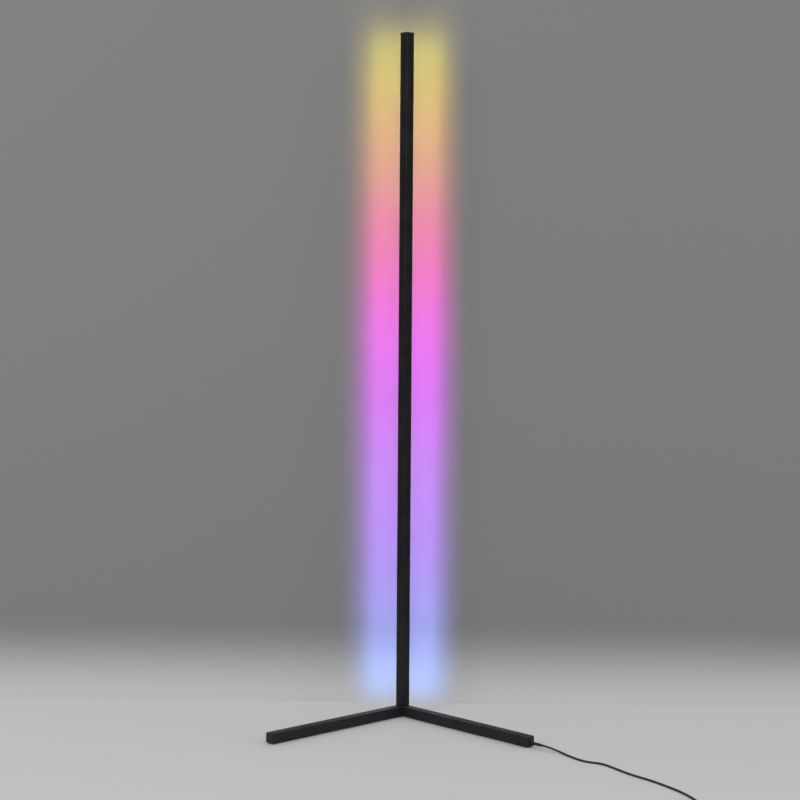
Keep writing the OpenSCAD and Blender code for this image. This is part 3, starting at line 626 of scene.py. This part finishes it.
finishes["strip_film"] = finish_of(
    "white_solder_mask", grey(0.76, -0.02), grey(0.86, -0.03), (0.3, 0.45), 1.5, 0.02,
)
finishes["led_resin"] = finish_of(
    "package_resin", grey(0.80, -0.04), grey(0.88, -0.04), (0.3, 0.4), 2.0, 0.01,
)
gel = finish_of(
    "phosphor_gel", (0.85, 0.66, 0.12), (0.93, 0.78, 0.22), (0.10, 0.18), 1.0, 0.01, Coat_Weight=0.5,
)
mark_paint = finish_of(
    "mark_paint", grey(0.50), grey(0.58, -0.01), (0.5, 0.6), 0.2, 0.004,
)
print(len(finishes), "finishes by slot, and", gel.name, "and", mark_paint.name)

# %% [markdown]
# The cord's skin is extruded as well, but it goes round bends, so its pattern has to follow it. The sweep
# left an attribute that counts the metres along the cord, and a noise on that one number gives the faint
# rings and flats that a vinyl lead has.

# %% The cord's vinyl
def cord_skin(ring_mm=9.0, fine_share=0.3, bump_mm=0.06, dusty=0.12):
    material, tree, shader, place = new_material("cord_vinyl")
    rings = tree.nodes.new("ShaderNodeTexNoise")
    rings.noise_dimensions = "1D"
    rings.inputs["Detail"].default_value = 4.0
    tree.links.new(times(tree, attribute(tree, "along"), 1000.0 / ring_mm), rings.inputs["W"])
    texture = placed(tree, grain, place, Scale=1400.0, Low=0.40, High=0.52)
    fine = times(tree, texture.outputs["Height"], fine_share)
    height = maths(tree, "ADD", rings.outputs["Fac"], fine)
    shade = mix_colour(tree, rings.outputs["Fac"], grey(0.008), grey(0.016, 0.001))
    shade = dusted(tree, shade, place, dusty)
    drive(tree, shader, shade, texture.outputs["Roughness"], height, bump_mm)
    shader.inputs["Specular IOR Level"].default_value = 0.4
    return material


finishes["cord_vinyl"] = cord_skin()
print("the cord's skin follows its line")

# %% [markdown]
# The diffuser carries the light, and its colour runs up the pole: light blue at the floor, through violet,
# pink and red to yellow at the top. A colour ramp on the height gives the run. Over it lies a faint beat,
# one bright spot for each package behind the milky skin, and the crown fades a little towards its edges.

# %% The lit diffuser
base_top, pole_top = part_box("pole_section_1")[0].z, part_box("pole_section_4")[1].z
package_low, package_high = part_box("led_packages")
package_w, led_pitch = 0.005, 1 / 60
led_first = package_low.z + package_w / 2
half_window = 0.0083
colour_run = [
    (0.00, (0.10, 0.30, 0.85)),
    (0.11, (0.28, 0.30, 0.95)),
    (0.21, (0.40, 0.18, 1.00)),
    (0.35, (0.55, 0.12, 1.00)),
    (0.47, (0.75, 0.02, 1.00)),
    (0.56, (0.90, 0.01, 0.90)),
    (0.64, (0.95, 0.02, 0.55)),
    (0.73, (0.85, 0.10, 0.28)),
    (0.82, (0.76, 0.28, 0.12)),
    (0.91, (0.70, 0.42, 0.02)),
    (1.00, (0.56, 0.50, 0.01)),
]


def run_ramp(tree, height):
    share = ranged(tree, height, base_top, pole_top)
    ramp = tree.nodes.new("ShaderNodeValToRGB")
    while len(ramp.color_ramp.elements) < len(colour_run):
        ramp.color_ramp.elements.new(0.5)
    for element, (at, colour) in zip(ramp.color_ramp.elements, colour_run):
        element.position = at
        element.color = (*colour, 1)
    tree.links.new(share, ramp.inputs[0])
    return ramp.outputs[0]


def lit_silicone(beat_share=0.07, edge_fade=0.3, full=0.9, cloud=40.0, bump_mm=0.01):
    material, tree, shader, place = new_material("lit_silicone")
    at = axes(tree, place)
    from_first = maths(tree, "SUBTRACT", at["Z"], led_first)
    beat = maths(tree, "COSINE", times(tree, from_first, 2 * math.pi / led_pitch))
    across = maths(tree, "DIVIDE", maths(tree, "ABSOLUTE", at["X"]), half_window)
    fade = times(tree, maths(tree, "POWER", across, 2.0), edge_fade)
    level = maths(tree, "ADD", full, times(tree, beat, beat_share))
    glow = tree.nodes.new("ShaderNodeVectorMath")
    glow.operation = "SCALE"
    tree.links.new(run_ramp(tree, at["Z"]), glow.inputs[0])
    tree.links.new(maths(tree, "SUBTRACT", level, fade), glow.inputs["Scale"])
    tree.links.new(glow.outputs[0], shader.inputs["Emission Color"])
    shader.inputs["Emission Strength"].default_value = 1.0
    skin = mix_colour(tree, noise(tree, place, cloud, 3.0), grey(0.28), grey(0.33, -0.005))
    texture = placed(tree, grain, place, Scale=1500.0, Low=0.5, High=0.62)
    drive(tree, shader, skin, texture.outputs["Roughness"], texture.outputs["Height"], bump_mm)
    return material


finishes["diffuser_silicone"] = lit_silicone()
print("the diffuser runs through", len(colour_run), "colours")

# %% [markdown]
# Each measured part takes the finish of its own material slot, which its record names.

# %% Dress the measured parts
slot_of = {s["node"]: s["material_slot"] for s in frame["record"]["subparts"]}
body_of = {name: body for body, names in frame["record"]["behaviour"]["bodies"].items() for name in names}
for name, part in nodes.items():
    part.data.materials.clear()
    part.data.materials.append(finishes[slot_of[name]])

# %% [markdown]
# ## Softened copies
#
# The measured meshes are loose triangles with edges as sharp as a knife, and nothing real is. The parts
# that show get a softened copy. Its doubles are merged, its flat faces are joined again, the rims that a
# hand would feel are bevelled, and the rest is shaded smooth up to a set angle. Each copy stands for its
# part, which stays underneath for contact.

# %% A softened copy
MM = 0.001
smooth_angle = math.radians(38)
flat_angle = math.radians(0.6)
same_place = 0.002 * MM


def clean_mesh(name):
    work = bmesh.new()
    work.from_mesh(nodes[name].data)
    bmesh.ops.remove_doubles(work, verts=work.verts, dist=same_place)
    bmesh.ops.dissolve_limit(
        work, angle_limit=flat_angle, verts=work.verts, edges=work.edges, delimit={"NORMAL"},
    )
    return work


def bevel_rims(work, on_rim, width_mm, steps=3):
    work.normal_update()
    sharp = [e for e in work.edges if len(e.link_faces) == 2 and e.calc_face_angle() > smooth_angle]
    rims = [e for e in sharp if on_rim((e.verts[0].co + e.verts[1].co) / 2)]
    if rims:
        bmesh.ops.bevel(
            work, geom=rims, offset=width_mm * MM, offset_type="OFFSET", segments=steps, profile=0.5,
            affect="EDGES", clamp_overlap=True,
        )
    return len(rims)


def mark_edges(mesh, widest=1.2 * MM):
    mask = mesh.attributes.new("edge", "FLOAT", "CORNER")
    for face in mesh.polygons:
        ends = [mesh.vertices[i].co for i in face.vertices]
        longest = max((a - b).length for a, b in zip(ends, ends[1:] + ends[:1]))
        narrow = face.area < widest * longest
        for corner in face.loop_indices:
            mask.data[corner].value = float(narrow)


def shade_smooth(mesh):
    mesh.polygons.foreach_set("use_smooth", [True] * len(mesh.polygons))
    mesh.set_sharp_from_angle(angle=smooth_angle)


def soften(name, *bevels, ending="_finished", keep=None):
    work = clean_mesh(name)
    if keep:
        other_faces = [f for f in work.faces if not keep(f.calc_center_median())]
        bmesh.ops.delete(work, geom=other_faces, context="FACES")
    count = sum(bevel_rims(work, on_rim, width) for on_rim, width in bevels)
    mesh = bpy.data.meshes.new(name + ending)
    work.to_mesh(mesh)
    work.free()
    for layer in [a.name for a in mesh.attributes if a.name.startswith("custom_normal")]:
        mesh.attributes.remove(mesh.attributes[layer])
    shade_smooth(mesh)
    mark_edges(mesh)
    mesh.materials.clear()
    mesh.materials.append(finishes[slot_of[name]])
    piece = finished_piece(name + ending, mesh, body_of[name])
    weigh = piece.modifiers.new("even_shading", "WEIGHTED_NORMAL")
    weigh.keep_sharp = True
    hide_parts(name)
    print(piece.name, len(mesh.polygons), "faces,", count, "rims")


print("softened copies are ready to make")

# %% [markdown]
# Which rims to bevel is a question of place: the ends of a tube, the face of a cap, the outline of a case.
# Each small function below answers it for one kind of part, from the real sizes of that part. A call pairs
# such a test with the bevel's width in millimetres.

# %% Rims of the bars and caps
bar, bar_corner, pad_t = 20 * MM, 0.8 * MM, 2 * MM
leg_l, cap_t = 350 * MM, 2 * MM
mid_leg_z = pad_t + bar / 2
outer_skin = bar / 2 - bar_corner
leg_start = bar / 2
leg_end = leg_start + leg_l
cap_end = leg_end + cap_t
left_way = Vector((-math.sqrt(0.5), -math.sqrt(0.5), 0))
near = 0.02 * MM


def bar_rims(way, *stations):
    across = Vector((-way.y, way.x, 0))

    def on_rim(p):
        off_axis = max(abs(p.dot(across)), abs(p.z - mid_leg_z))
        return off_axis > outer_skin and any(abs(p.dot(way) - s) < near for s in stations)

    return on_rim


def above(height):
    return lambda p: p.z > height


for side, way in (("left", left_way), ("right", leg_way)):
    soften(side + "_leg", (bar_rims(way, leg_start, leg_end), 0.25))
    soften(side + "_leg_cap", (bar_rims(way, cap_end), 0.5), (bar_rims(way, leg_end), 0.2))
soften("corner_block")
for i in range(1, 5):
    soften("pole_section_%d" % i)
soften("top_cap", (above(pole_top + near), 0.18))
soften("diffuser")
soften("strain_relief", (above(0), 0.12))
for name in ("foot_pads", "leg_screws"):
    soften(name, (above(-1), 0.1))

# %% [markdown]
# The controller's case is a base and a lid with rounded corners. Its top rim is worn round by a full
# millimetre, and a fine bevel on both sides of the joint makes the parting line that every such case has.

# %% Rims of the controller and the plug
case_half_l, case_half_w, case_r = 30 * MM, 9 * MM, 4 * MM
case_top, case_split = 11 * MM, 5 * MM
rim_band, from_outline = 0.3 * MM, 2 * MM
plug_sleeve_l = 11 * MM
plug_low, plug_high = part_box("plug_body")
shell_low, shell_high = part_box("plug_shell")
plug_axis_y = (plug_low.y + plug_high.y) / 2


def inside_outline(p):
    x = abs(p.x - case_middle.x) - case_half_l + case_r
    y = abs(p.y - case_middle.y) - case_half_w + case_r
    return case_r - math.hypot(max(x, 0), max(y, 0)) - min(max(x, y), 0)


def case_rims(height):
    return lambda p: abs(p.z - height) < near and inside_outline(p) < rim_band


def button_rims(p):
    return abs(p.z - case_top) < near and inside_outline(p) > from_outline


def shell_rims(p):
    outer_y = abs(p.y - plug_axis_y) > (shell_high.y - shell_low.y) / 2 - near
    outer_z = min(abs(p.z - shell_low.z), abs(p.z - shell_high.z)) < near
    return outer_y and outer_z


soften("controller_base", (case_rims(0), 0.8), (case_rims(case_split), 0.3))
soften("controller_lid", (case_rims(case_top), 1.0), (case_rims(case_split), 0.3), (button_rims, 0.15))
soften("controller_reliefs", (above(0), 0.1), ending="_lamp_end", keep=lambda p: p.x > case_middle.x)
soften("controller_reliefs", (above(0), 0.1), ending="_plug_end", keep=lambda p: p.x < case_middle.x)
soften("plug_body", (lambda p: p.x < plug_low.x + plug_sleeve_l, 0.1))
soften("plug_shell", (shell_rims, 0.5))
for name in ("power_button", "colour_button", "brightness_button"):
    soften(name)

# %% [markdown]
# ## Cords
#
# The two cords replace their plain solids. Each is swept along its line at its real diameter.

# %% The two cords
LAMP = "lamp"
cord_sides = 20
lamp_cord = swept_piece("lamp_cord_tube", [lamp_line], cord_d, cord_sides, "cord_vinyl", LAMP)
supply_cord = swept_piece("supply_cord_tube", [supply_line], cord_d, cord_sides, "cord_vinyl", LAMP)
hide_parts("lamp_cord")
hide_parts("cord_coil")
print("two cords,", round(line_length(lamp_line) + line_length(supply_line), 3), "m in all")

# %% [markdown]
# The coil is held by a flat strap with a hook face, wrapped once round all the turns and laid over its own
# end. Its outline is a rounded rectangle with corners as round as the cord, so that it hugs the outer
# turns. Walking a length along that outline, straight by straight and corner by corner, gives a place on
# the strap and the way out from it.

# %% A walk round the coil
strap_w, strap_t, strap_gap = 5 * MM, 0.2 * MM, 0.15 * MM
strap_r = cord_d / 2 + strap_gap
outer_turn, inner_turn = coil_radius(0.25), coil_radius(coil_turns - 0.25)
strap_top = cord_d + coil_pitch + strap_gap


def strap_point(s, half_l, half_h, out):
    straight = [2 * (half_l - strap_r), 2 * (half_h - strap_r)] * 2
    corner = math.pi / 2 * strap_r
    place = Vector((-half_l + strap_r, 0, half_h))
    way, turn = Vector((1, 0, 0)), Matrix.Rotation(math.pi / 2, 3, "Y")
    for run in straight:
        away = turn.inverted() @ way
        if s <= run:
            return place + way * s + away * out, away
        s, place = s - run, place + way * run
        if s <= corner:
            lean = Matrix.Rotation(s / strap_r, 3, "Y") @ away
            return place - away * strap_r + lean * (strap_r + out), lean
        s, place = s - corner, place + (way - away) * strap_r
        way = turn @ way
    return strap_point(s, half_l, half_h, out)


print("the walk round the coil is", round((strap_top - strap_t) / MM, 2), "mm high")

# %% [markdown]
# The strap follows that walk for a little more than one turn. It climbs by its own thickness where it comes
# to lie on itself, and its end narrows. A few points across, in shares of its width and its thickness, give
# it soft edges. Rings of points joined by quads make the mesh, as they do for the lumps further down.

# %% The strap round the coil
strap_overlap, climb_from, climb_run, tip_run = 9 * MM, 4 * MM, 3 * MM, 2 * MM
strap_profile = [(-0.5, 0.5), (-0.46, 1.0), (0.46, 1.0), (0.5, 0.5), (0.46, 0.0), (-0.46, 0.0)]


def ring_faces(low, high, n):
    return [(low + k, low + (k + 1) % n, high + (k + 1) % n, high + k) for k in range(n)]


def strap_mesh(steps=160, lift_share=1.1, tip_share=0.5):
    half_l, half_h = (outer_turn - inner_turn) / 2 + strap_r, (strap_top - strap_t) / 2
    x, z = coil_middle.x - (outer_turn + inner_turn) / 2, (strap_top + strap_t) / 2
    middle = Vector((x, coil_middle.y, z))
    around = 4 * (half_l + half_h - 2 * strap_r) + 2 * math.pi * strap_r
    total = around + strap_overlap
    verts, faces = [], []
    for i in range(steps + 1):
        s = total * i / steps
        lift = strap_t * lift_share * ease((s - around + climb_from) / climb_run)
        tip = ease((total - s) / tip_run) * (1 - tip_share) + tip_share
        for across, thick in strap_profile:
            place, away = strap_point(s, half_l, half_h, lift + strap_t * thick)
            verts.append(middle + place + Vector((0, across * strap_w * tip, 0)))
    n = len(strap_profile)
    for i in range(steps):
        faces += ring_faces(i * n, (i + 1) * n, n)
    faces += [tuple(range(n)), tuple(range(steps * n, (steps + 1) * n))]
    mesh = bpy.data.meshes.new("coil_strap")
    mesh.from_pydata(verts, [], faces)
    mesh.materials.append(finishes["cord_vinyl"])
    return mesh


def face_outwards(mesh):
    work = bmesh.new()
    work.from_mesh(mesh)
    bmesh.ops.recalc_face_normals(work, faces=work.faces)
    work.to_mesh(mesh)
    work.free()
    shade_smooth(mesh)
    return mesh


strap = finished_piece("coil_strap", face_outwards(strap_mesh()), LAMP)
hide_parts("coil_tie")
print("the strap has", len(strap.data.polygons), "faces")

# %% [markdown]
# ## Small repeated pieces
#
# A lump is a box whose corners are squeezed round: the sine and cosine of a sphere, each raised to a power.
# A low power gives a pad with tight corners and a power of one gives an egg. Every small repeated shape
# here is such a lump of a few dozen faces.

# %% A rounded lump
def lump_mesh(name, size, power, around, rise):
    def squeezed(value):
        return math.copysign(abs(value) ** power, value)

    half_x, half_y, half_z = (x / 2 for x in size)
    verts = [(0, 0, -half_z)]
    for i in range(1, rise):
        v = -math.pi / 2 + math.pi * i / rise
        ring, z = squeezed(math.cos(v)), half_z * squeezed(math.sin(v))
        for k in range(around):
            u = 2 * math.pi * (k + 0.5) / around
            verts.append((half_x * ring * squeezed(math.cos(u)), half_y * ring * squeezed(math.sin(u)), z))
    top = len(verts)
    verts.append((0, 0, half_z))
    last = top - around
    faces = [(0, 1 + (k + 1) % around, 1 + k) for k in range(around)]
    faces += [(last + k, last + (k + 1) % around, top) for k in range(around)]
    for low in range(1, last, around):
        faces += ring_faces(low, low + around, around)
    mesh = bpy.data.meshes.new(name)
    mesh.from_pydata(verts, [], faces)
    return mesh


print("a lump can be made")

# %% [markdown]
# A lump is set out in rows by the second tree, one row from each starting point. The rows are then joined
# into one piece, because they ride on the lamp together and share a finish.

# %% Rows of lumps
def set_out(name, mesh, starts, count, step, material):
    rows = []
    for start in starts:
        shape = mesh.copy()
        shape.transform(Matrix.Translation(start))
        rows.append(run_tree(link_object(name, shape), row, Count=count, Step=step, Material=material))
    work = bmesh.new()
    for part in rows:
        work.from_mesh(part)
    joined = bpy.data.meshes.new(name)
    work.to_mesh(joined)
    work.free()
    joined.materials.append(material)
    finished_piece(name, joined, LAMP)
    print(name, count * len(rows), "pieces,", len(joined.polygons), "faces")


print("lumps can be set out in rows")

# %% [markdown]
# Each light package holds a pool of phosphor gel, which stands a little proud of its recess. Halfway
# between two packages the strip has its cutting line, with three gilt pads across it, a little domed.

# %% Gel and pads on the strip
gel_w, gel_t = 4 * MM, 0.5 * MM
pad_size, pad_apart, pad_rise = (2.0 * MM, 0.08 * MM, 3.4 * MM), 3.2 * MM, 8.3 * MM
strip_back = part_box("light_strip")[1].y
led_count = round((package_high.z - package_low.z) / led_pitch)
row_step = (0, 0, led_pitch)
gel_rows = [Vector((0, package_high.y - gel_t / 2, led_first))]
pad_rows = [Vector((x, strip_back, led_first + pad_rise)) for x in (-pad_apart, 0, pad_apart)]
set_out(
    "package_gel", lump_mesh("gel", (gel_w, gel_t, gel_w), 1.0, 16, 8), gel_rows, led_count + 1, row_step,
    gel,
)
set_out(
    "strip_pads", lump_mesh("pad", pad_size, 0.3, 12, 4), pad_rows, led_count, row_step,
    finishes["contact_brass"],
)

# %% [markdown]
# The plug and the ends of the controller have grips: low ribs that let dry fingers pull. They are eggs
# stretched along Z, half sunk in the side wall.

# %% Grips on the plug and the controller
rib_rise = 0.25 * MM
plug_rib, plug_rib_step = (0.9 * MM, 2 * rib_rise, 5.4 * MM), (1.6 * MM, 0, 0)
plug_rib_x, plug_rib_z = plug_high.x - 17 * MM, plug_low.z + 4.5 * MM
plug_ribs = [Vector((plug_rib_x, y, plug_rib_z)) for y in (plug_low.y, plug_high.y)]
set_out(
    "plug_grips", lump_mesh("rib", plug_rib, 0.8, 12, 8), plug_ribs, 7, plug_rib_step,
    finishes["plug_vinyl"],
)
case_rib, case_rib_step, case_rib_rise = (0.8 * MM, 2 * rib_rise, 4.0 * MM), (1.5 * MM, 0, 0), 3.0 * MM
case_rib_starts = [(x, y) for x in (-25 * MM, 19 * MM) for y in (-case_half_w, case_half_w)]
case_ribs = [case_middle + Vector((x, y, case_rib_rise)) for x, y in case_rib_starts]
set_out(
    "case_grips", lump_mesh("rib", case_rib, 0.8, 12, 8), case_ribs, 5, case_rib_step,
    finishes["case_plastic"],
)

# %% [markdown]
# Each button carries a raised mark: the usual ring and bar for power, three rings for the colour, and a
# small sun for the brightness. A mark is a few thin lines laid in the button's shallow dish and swept by
# the same tree as the cords, and it rides on its own button.

# %% Marks on the buttons
button_pitch, button_top = 15 * MM, 12 * MM
dish_r, dish_depth = 2.6 * MM, 0.3 * MM
mark_d, mark_rise = 0.26 * MM, 0.15


def in_dish(k, x, y):
    sink = dish_depth * max(0.0, 1 - (x * x + y * y) / (dish_r * dish_r))
    z = button_top - sink + mark_d * mark_rise
    return Vector((case_middle.x + k * button_pitch + x, case_middle.y + y, z))


def ring_line(k, x, y, r, start=0.0, end=360.0, steps=28):
    angles = [math.radians(start + (end - start) * i / steps) for i in range(steps + 1)]
    return [in_dish(k, x + r * math.cos(a), y + r * math.sin(a)) for a in angles]


def ray(k, degrees, low, high, steps=4):
    x, y = math.cos(math.radians(degrees)), math.sin(math.radians(degrees))
    lengths = [low + (high - low) * i / steps for i in range(steps + 1)]
    return [in_dish(k, x * r, y * r) for r in lengths]


def power_mark(k, r=1.3 * MM, gap=35, low=0.5 * MM, high=1.7 * MM):
    return [ring_line(k, 0, 0, r, 90 + gap, 450 - gap), ray(k, 90, low, high)]


def colour_mark(k, r=0.85 * MM, out=0.75 * MM):
    turns = [math.radians(a) for a in (90, 210, 330)]
    return [ring_line(k, out * math.cos(a), out * math.sin(a), r) for a in turns]


def sun_mark(k, r=0.75 * MM, low=1.15 * MM, high=1.75 * MM, rays=8):
    return [ring_line(k, 0, 0, r)] + [ray(k, 360 / rays * i, low, high) for i in range(rays)]


marks = {"power": power_mark(1), "colour": colour_mark(0), "brightness": sun_mark(-1)}
mark_pieces = []
for name, lines in marks.items():
    piece = swept_piece(name + "_mark", lines, mark_d, 8, "button_rubber", body_of[name + "_button"])
    piece.data.materials.clear()
    piece.data.materials.append(mark_paint)
    mark_pieces.append(piece)
print("marks on", len(mark_pieces), "buttons")

# %% [markdown]
# Everything on the cords is made now, so the pieces that go with each cord are listed.

on_lamp_cord = ["controller_base_finished", "controller_lid_finished", "controller_reliefs_lamp_end"]
on_lamp_cord += ["case_grips", "controller_board", "controller_chip", "controller_switches"]
on_lamp_cord += [name + "_button_finished" for name in marks] + [p.name for p in mark_pieces]
on_supply_cord = ["controller_reliefs_plug_end", "coil_strap", "plug_body_finished", "plug_shell_finished"]
on_supply_cord += ["plug_tongue", "plug_contacts", "plug_grips"]

# %% [markdown]
# ## Floor, backdrop and light
#
# The floor is plain and pale. A sheet of paper hangs close behind the lamp, as a wall would stand, and
# catches what the diffuser sends back. Its colour holds painted shade: its foot is painted as bright as
# the floor looks, so hardly a line shows where the two meet, and above it the paper is painted darker, as
# a wall in shade, so that the glow has something to stand out from. It shows only from the front, so that
# it hides nothing from behind, and it fades out far from the lamp, so that it has no edge.

# %% Papers for the floor and the backdrop
# The backdrop's grey above its foot is painted shade, and its foot is painted as bright as the floor.
floor_pale, foot_pale, painted_wall_shade = 0.52, 0.56, 0.22
wall_y, foot_h = 0.120, 0.18
fade_x, fade_z = (1.2, 3.0), (1.8, 3.2)


def paper(name, pale, cloud=90.0, vary=0.01):
    material, tree, shader, place = new_material(name)
    shades = [grey((1 - vary) * pale), grey((1 + vary) * pale)]
    shade = mix_colour(tree, noise(tree, place, cloud, 4.0), *shades)
    tree.links.new(shade, shader.inputs["Base Color"])
    shader.inputs["Roughness"].default_value = 0.9
    shader.inputs["Specular IOR Level"].default_value = 0.1
    return material, tree, shader, place


def wall_paper():
    material, tree, shader, place = paper("backdrop_paper", painted_wall_shade)
    at = axes(tree, place)
    # Painted shade: the paper runs from the bright grey of its foot to a darker grey above, as a wall in
    # shade.
    up = tree.nodes.new("ShaderNodeMapRange")
    up.interpolation_type = "SMOOTHSTEP"
    up.inputs["From Max"].default_value = foot_h
    tree.links.new(at["Z"], up.inputs["Value"])
    plain = shader.inputs["Base Color"].links[0].from_socket
    tree.links.new(mix_colour(tree, up.outputs[0], grey(foot_pale), plain), shader.inputs["Base Color"])
    sideways = ranged(tree, maths(tree, "ABSOLUTE", at["X"]), *fade_x)
    gone = maths(tree, "MAXIMUM", sideways, ranged(tree, at["Z"], *fade_z))
    behind = tree.nodes.new("ShaderNodeNewGeometry").outputs["Backfacing"]
    clear = tree.nodes.new("ShaderNodeBsdfTransparent")
    pick = tree.nodes.new("ShaderNodeMixShader")
    tree.links.new(maths(tree, "MAXIMUM", behind, gone), pick.inputs[0])
    tree.links.new(shader.outputs[0], pick.inputs[1])
    tree.links.new(clear.outputs[0], pick.inputs[2])
    tree.links.new(pick.outputs[0], tree.nodes["Material Output"].inputs["Surface"])
    return material


print("the papers can be made")

# %% [markdown]
# Both sheets are single faces, and they aren't part of the lamp. The backdrop throws no shadow and isn't
# seen by diffuse rays, so the lamp is lit much as it would be without it.

# %% Floor and backdrop
def staged(name, corners, material):
    mesh = bpy.data.meshes.new(name)
    mesh.from_pydata(corners, [], [(0, 1, 2, 3)])
    mesh.materials.append(material)
    piece = link_object(name, mesh)
    return piece


reach, wall_half, wall_top = 30.0, fade_x[1], fade_z[1]
floor_corners = [(-reach, -reach, 0), (reach, -reach, 0), (reach, reach, 0), (-reach, reach, 0)]
wall_outline = [(-wall_half, 0), (wall_half, 0), (wall_half, wall_top), (-wall_half, wall_top)]
wall_corners = [(x, wall_y, z) for x, z in wall_outline]
staged("floor", floor_corners, paper("floor_paper", floor_pale)[0])
sheet = staged("backdrop", wall_corners, wall_paper())
sheet.visible_shadow = False
sheet.visible_diffuse = False
print("floor and backdrop are in place")

# %% [markdown]
# The studio light is soft: an even sky and two large lamps in front. Rays that see the sky itself, or see
# it in a mirror, meet the brightness that the sky gives the far floor, so no horizon shows.

# %% Studio light
def area_light(name, at, towards, width, height, watts, colour=(1, 1, 1), spread=180.0):
    data = bpy.data.lights.new(name, "AREA")
    data.shape = "RECTANGLE"
    data.size, data.size_y = width, height
    data.energy = watts
    data.color = colour
    data.spread = math.radians(spread)
    lamp = link_object(name, data)
    lamp.location = at
    lamp.rotation_mode = "QUATERNION"
    lamp.rotation_quaternion = Vector(towards).to_track_quat("-Z", "Y")
    lamp.visible_camera = False


def even_sky(light=0.75):
    world = bpy.data.worlds.new("even_sky")
    bpy.context.scene.world = world
    world.use_nodes = True
    tree = world.node_tree
    sky = tree.nodes["Background"]
    sky.inputs["Color"].default_value = (1, 1, 1, 1)
    path = tree.nodes.new("ShaderNodeLightPath")
    shown = maths(tree, "ADD", path.outputs["Is Camera Ray"], path.outputs["Is Glossy Ray"])
    shown = maths(tree, "ADD", shown, path.outputs["Is Transmission Ray"], clamp=True)
    tree.links.new(ranged(tree, shown, 0.0, 1.0, light, light * floor_pale), sky.inputs["Strength"])


even_sky()
studio_aim, studio_size = Vector((0, 0, 0.6)), 1.6
for name, at, watts in (("key", (-2.2, -2.6, 2.6), 45), ("fill", (2.6, -2.2, 1.8), 20)):
    area_light(name, at, studio_aim - Vector(at), studio_size, studio_size, watts)
bpy.context.scene.view_settings.view_transform = "Standard"
print("studio light is on")

# %% [markdown]
# The strip's own light is three columns of narrow lamps just behind the diffuser's skin, in rows from the
# foot to the top. The outer two lean outwards and spread only so far, because the walls of the window cut
# them off, and that gives the band on the wall its rather sharp sides. The third fills the middle. The
# wall is paler towards its foot, so the lamps dim there by as much. One more row at the top looks up,
# because the light spills over the end of the strip.

# %% The strip's own light
def run_colour(share):
    for (a, low), (b, high) in zip(colour_run, colour_run[1:]):
        if share <= b:
            s = (share - a) / (b - a)
            return tuple(x + (y - x) * s for x, y in zip(low, high))
    return colour_run[-1][1]


strip_columns = [("left", -1, -29.0, 1.0), ("middle", 0, -1.0, 0.75), ("right", 1, 26.5, 1.0)]
strip_spread = 50.0
spill_rise, spill_level = 0.55, 0.6


def strip_light(count=24, watts=0.038, skin_y=0.0155, apart=0.003):
    step = (pole_top - base_top) / count
    rows = [(base_top + step * (i + 0.5), 0.0, 1.0) for i in range(count)]
    rows.append((pole_top - step / 2, spill_rise, spill_level))
    for i, (z, rise, level) in enumerate(rows):
        colour = run_colour((z - base_top) / (pole_top - base_top))
        level *= painted_wall_shade / (foot_pale + (painted_wall_shade - foot_pale) * ease(z / foot_h))
        for side, column, turn, share in strip_columns:
            way = Vector((math.sin(math.radians(turn)), math.cos(math.radians(turn)), rise))
            at, power = (apart * column, skin_y, z), watts * level * share
            name = "strip_light_%02d_%s" % (i, side)
            area_light(name, at, way, 2 * apart, step, power, colour, strip_spread)
    return len(rows) * len(strip_columns)


print(strip_light(), "lamps for the strip's light")
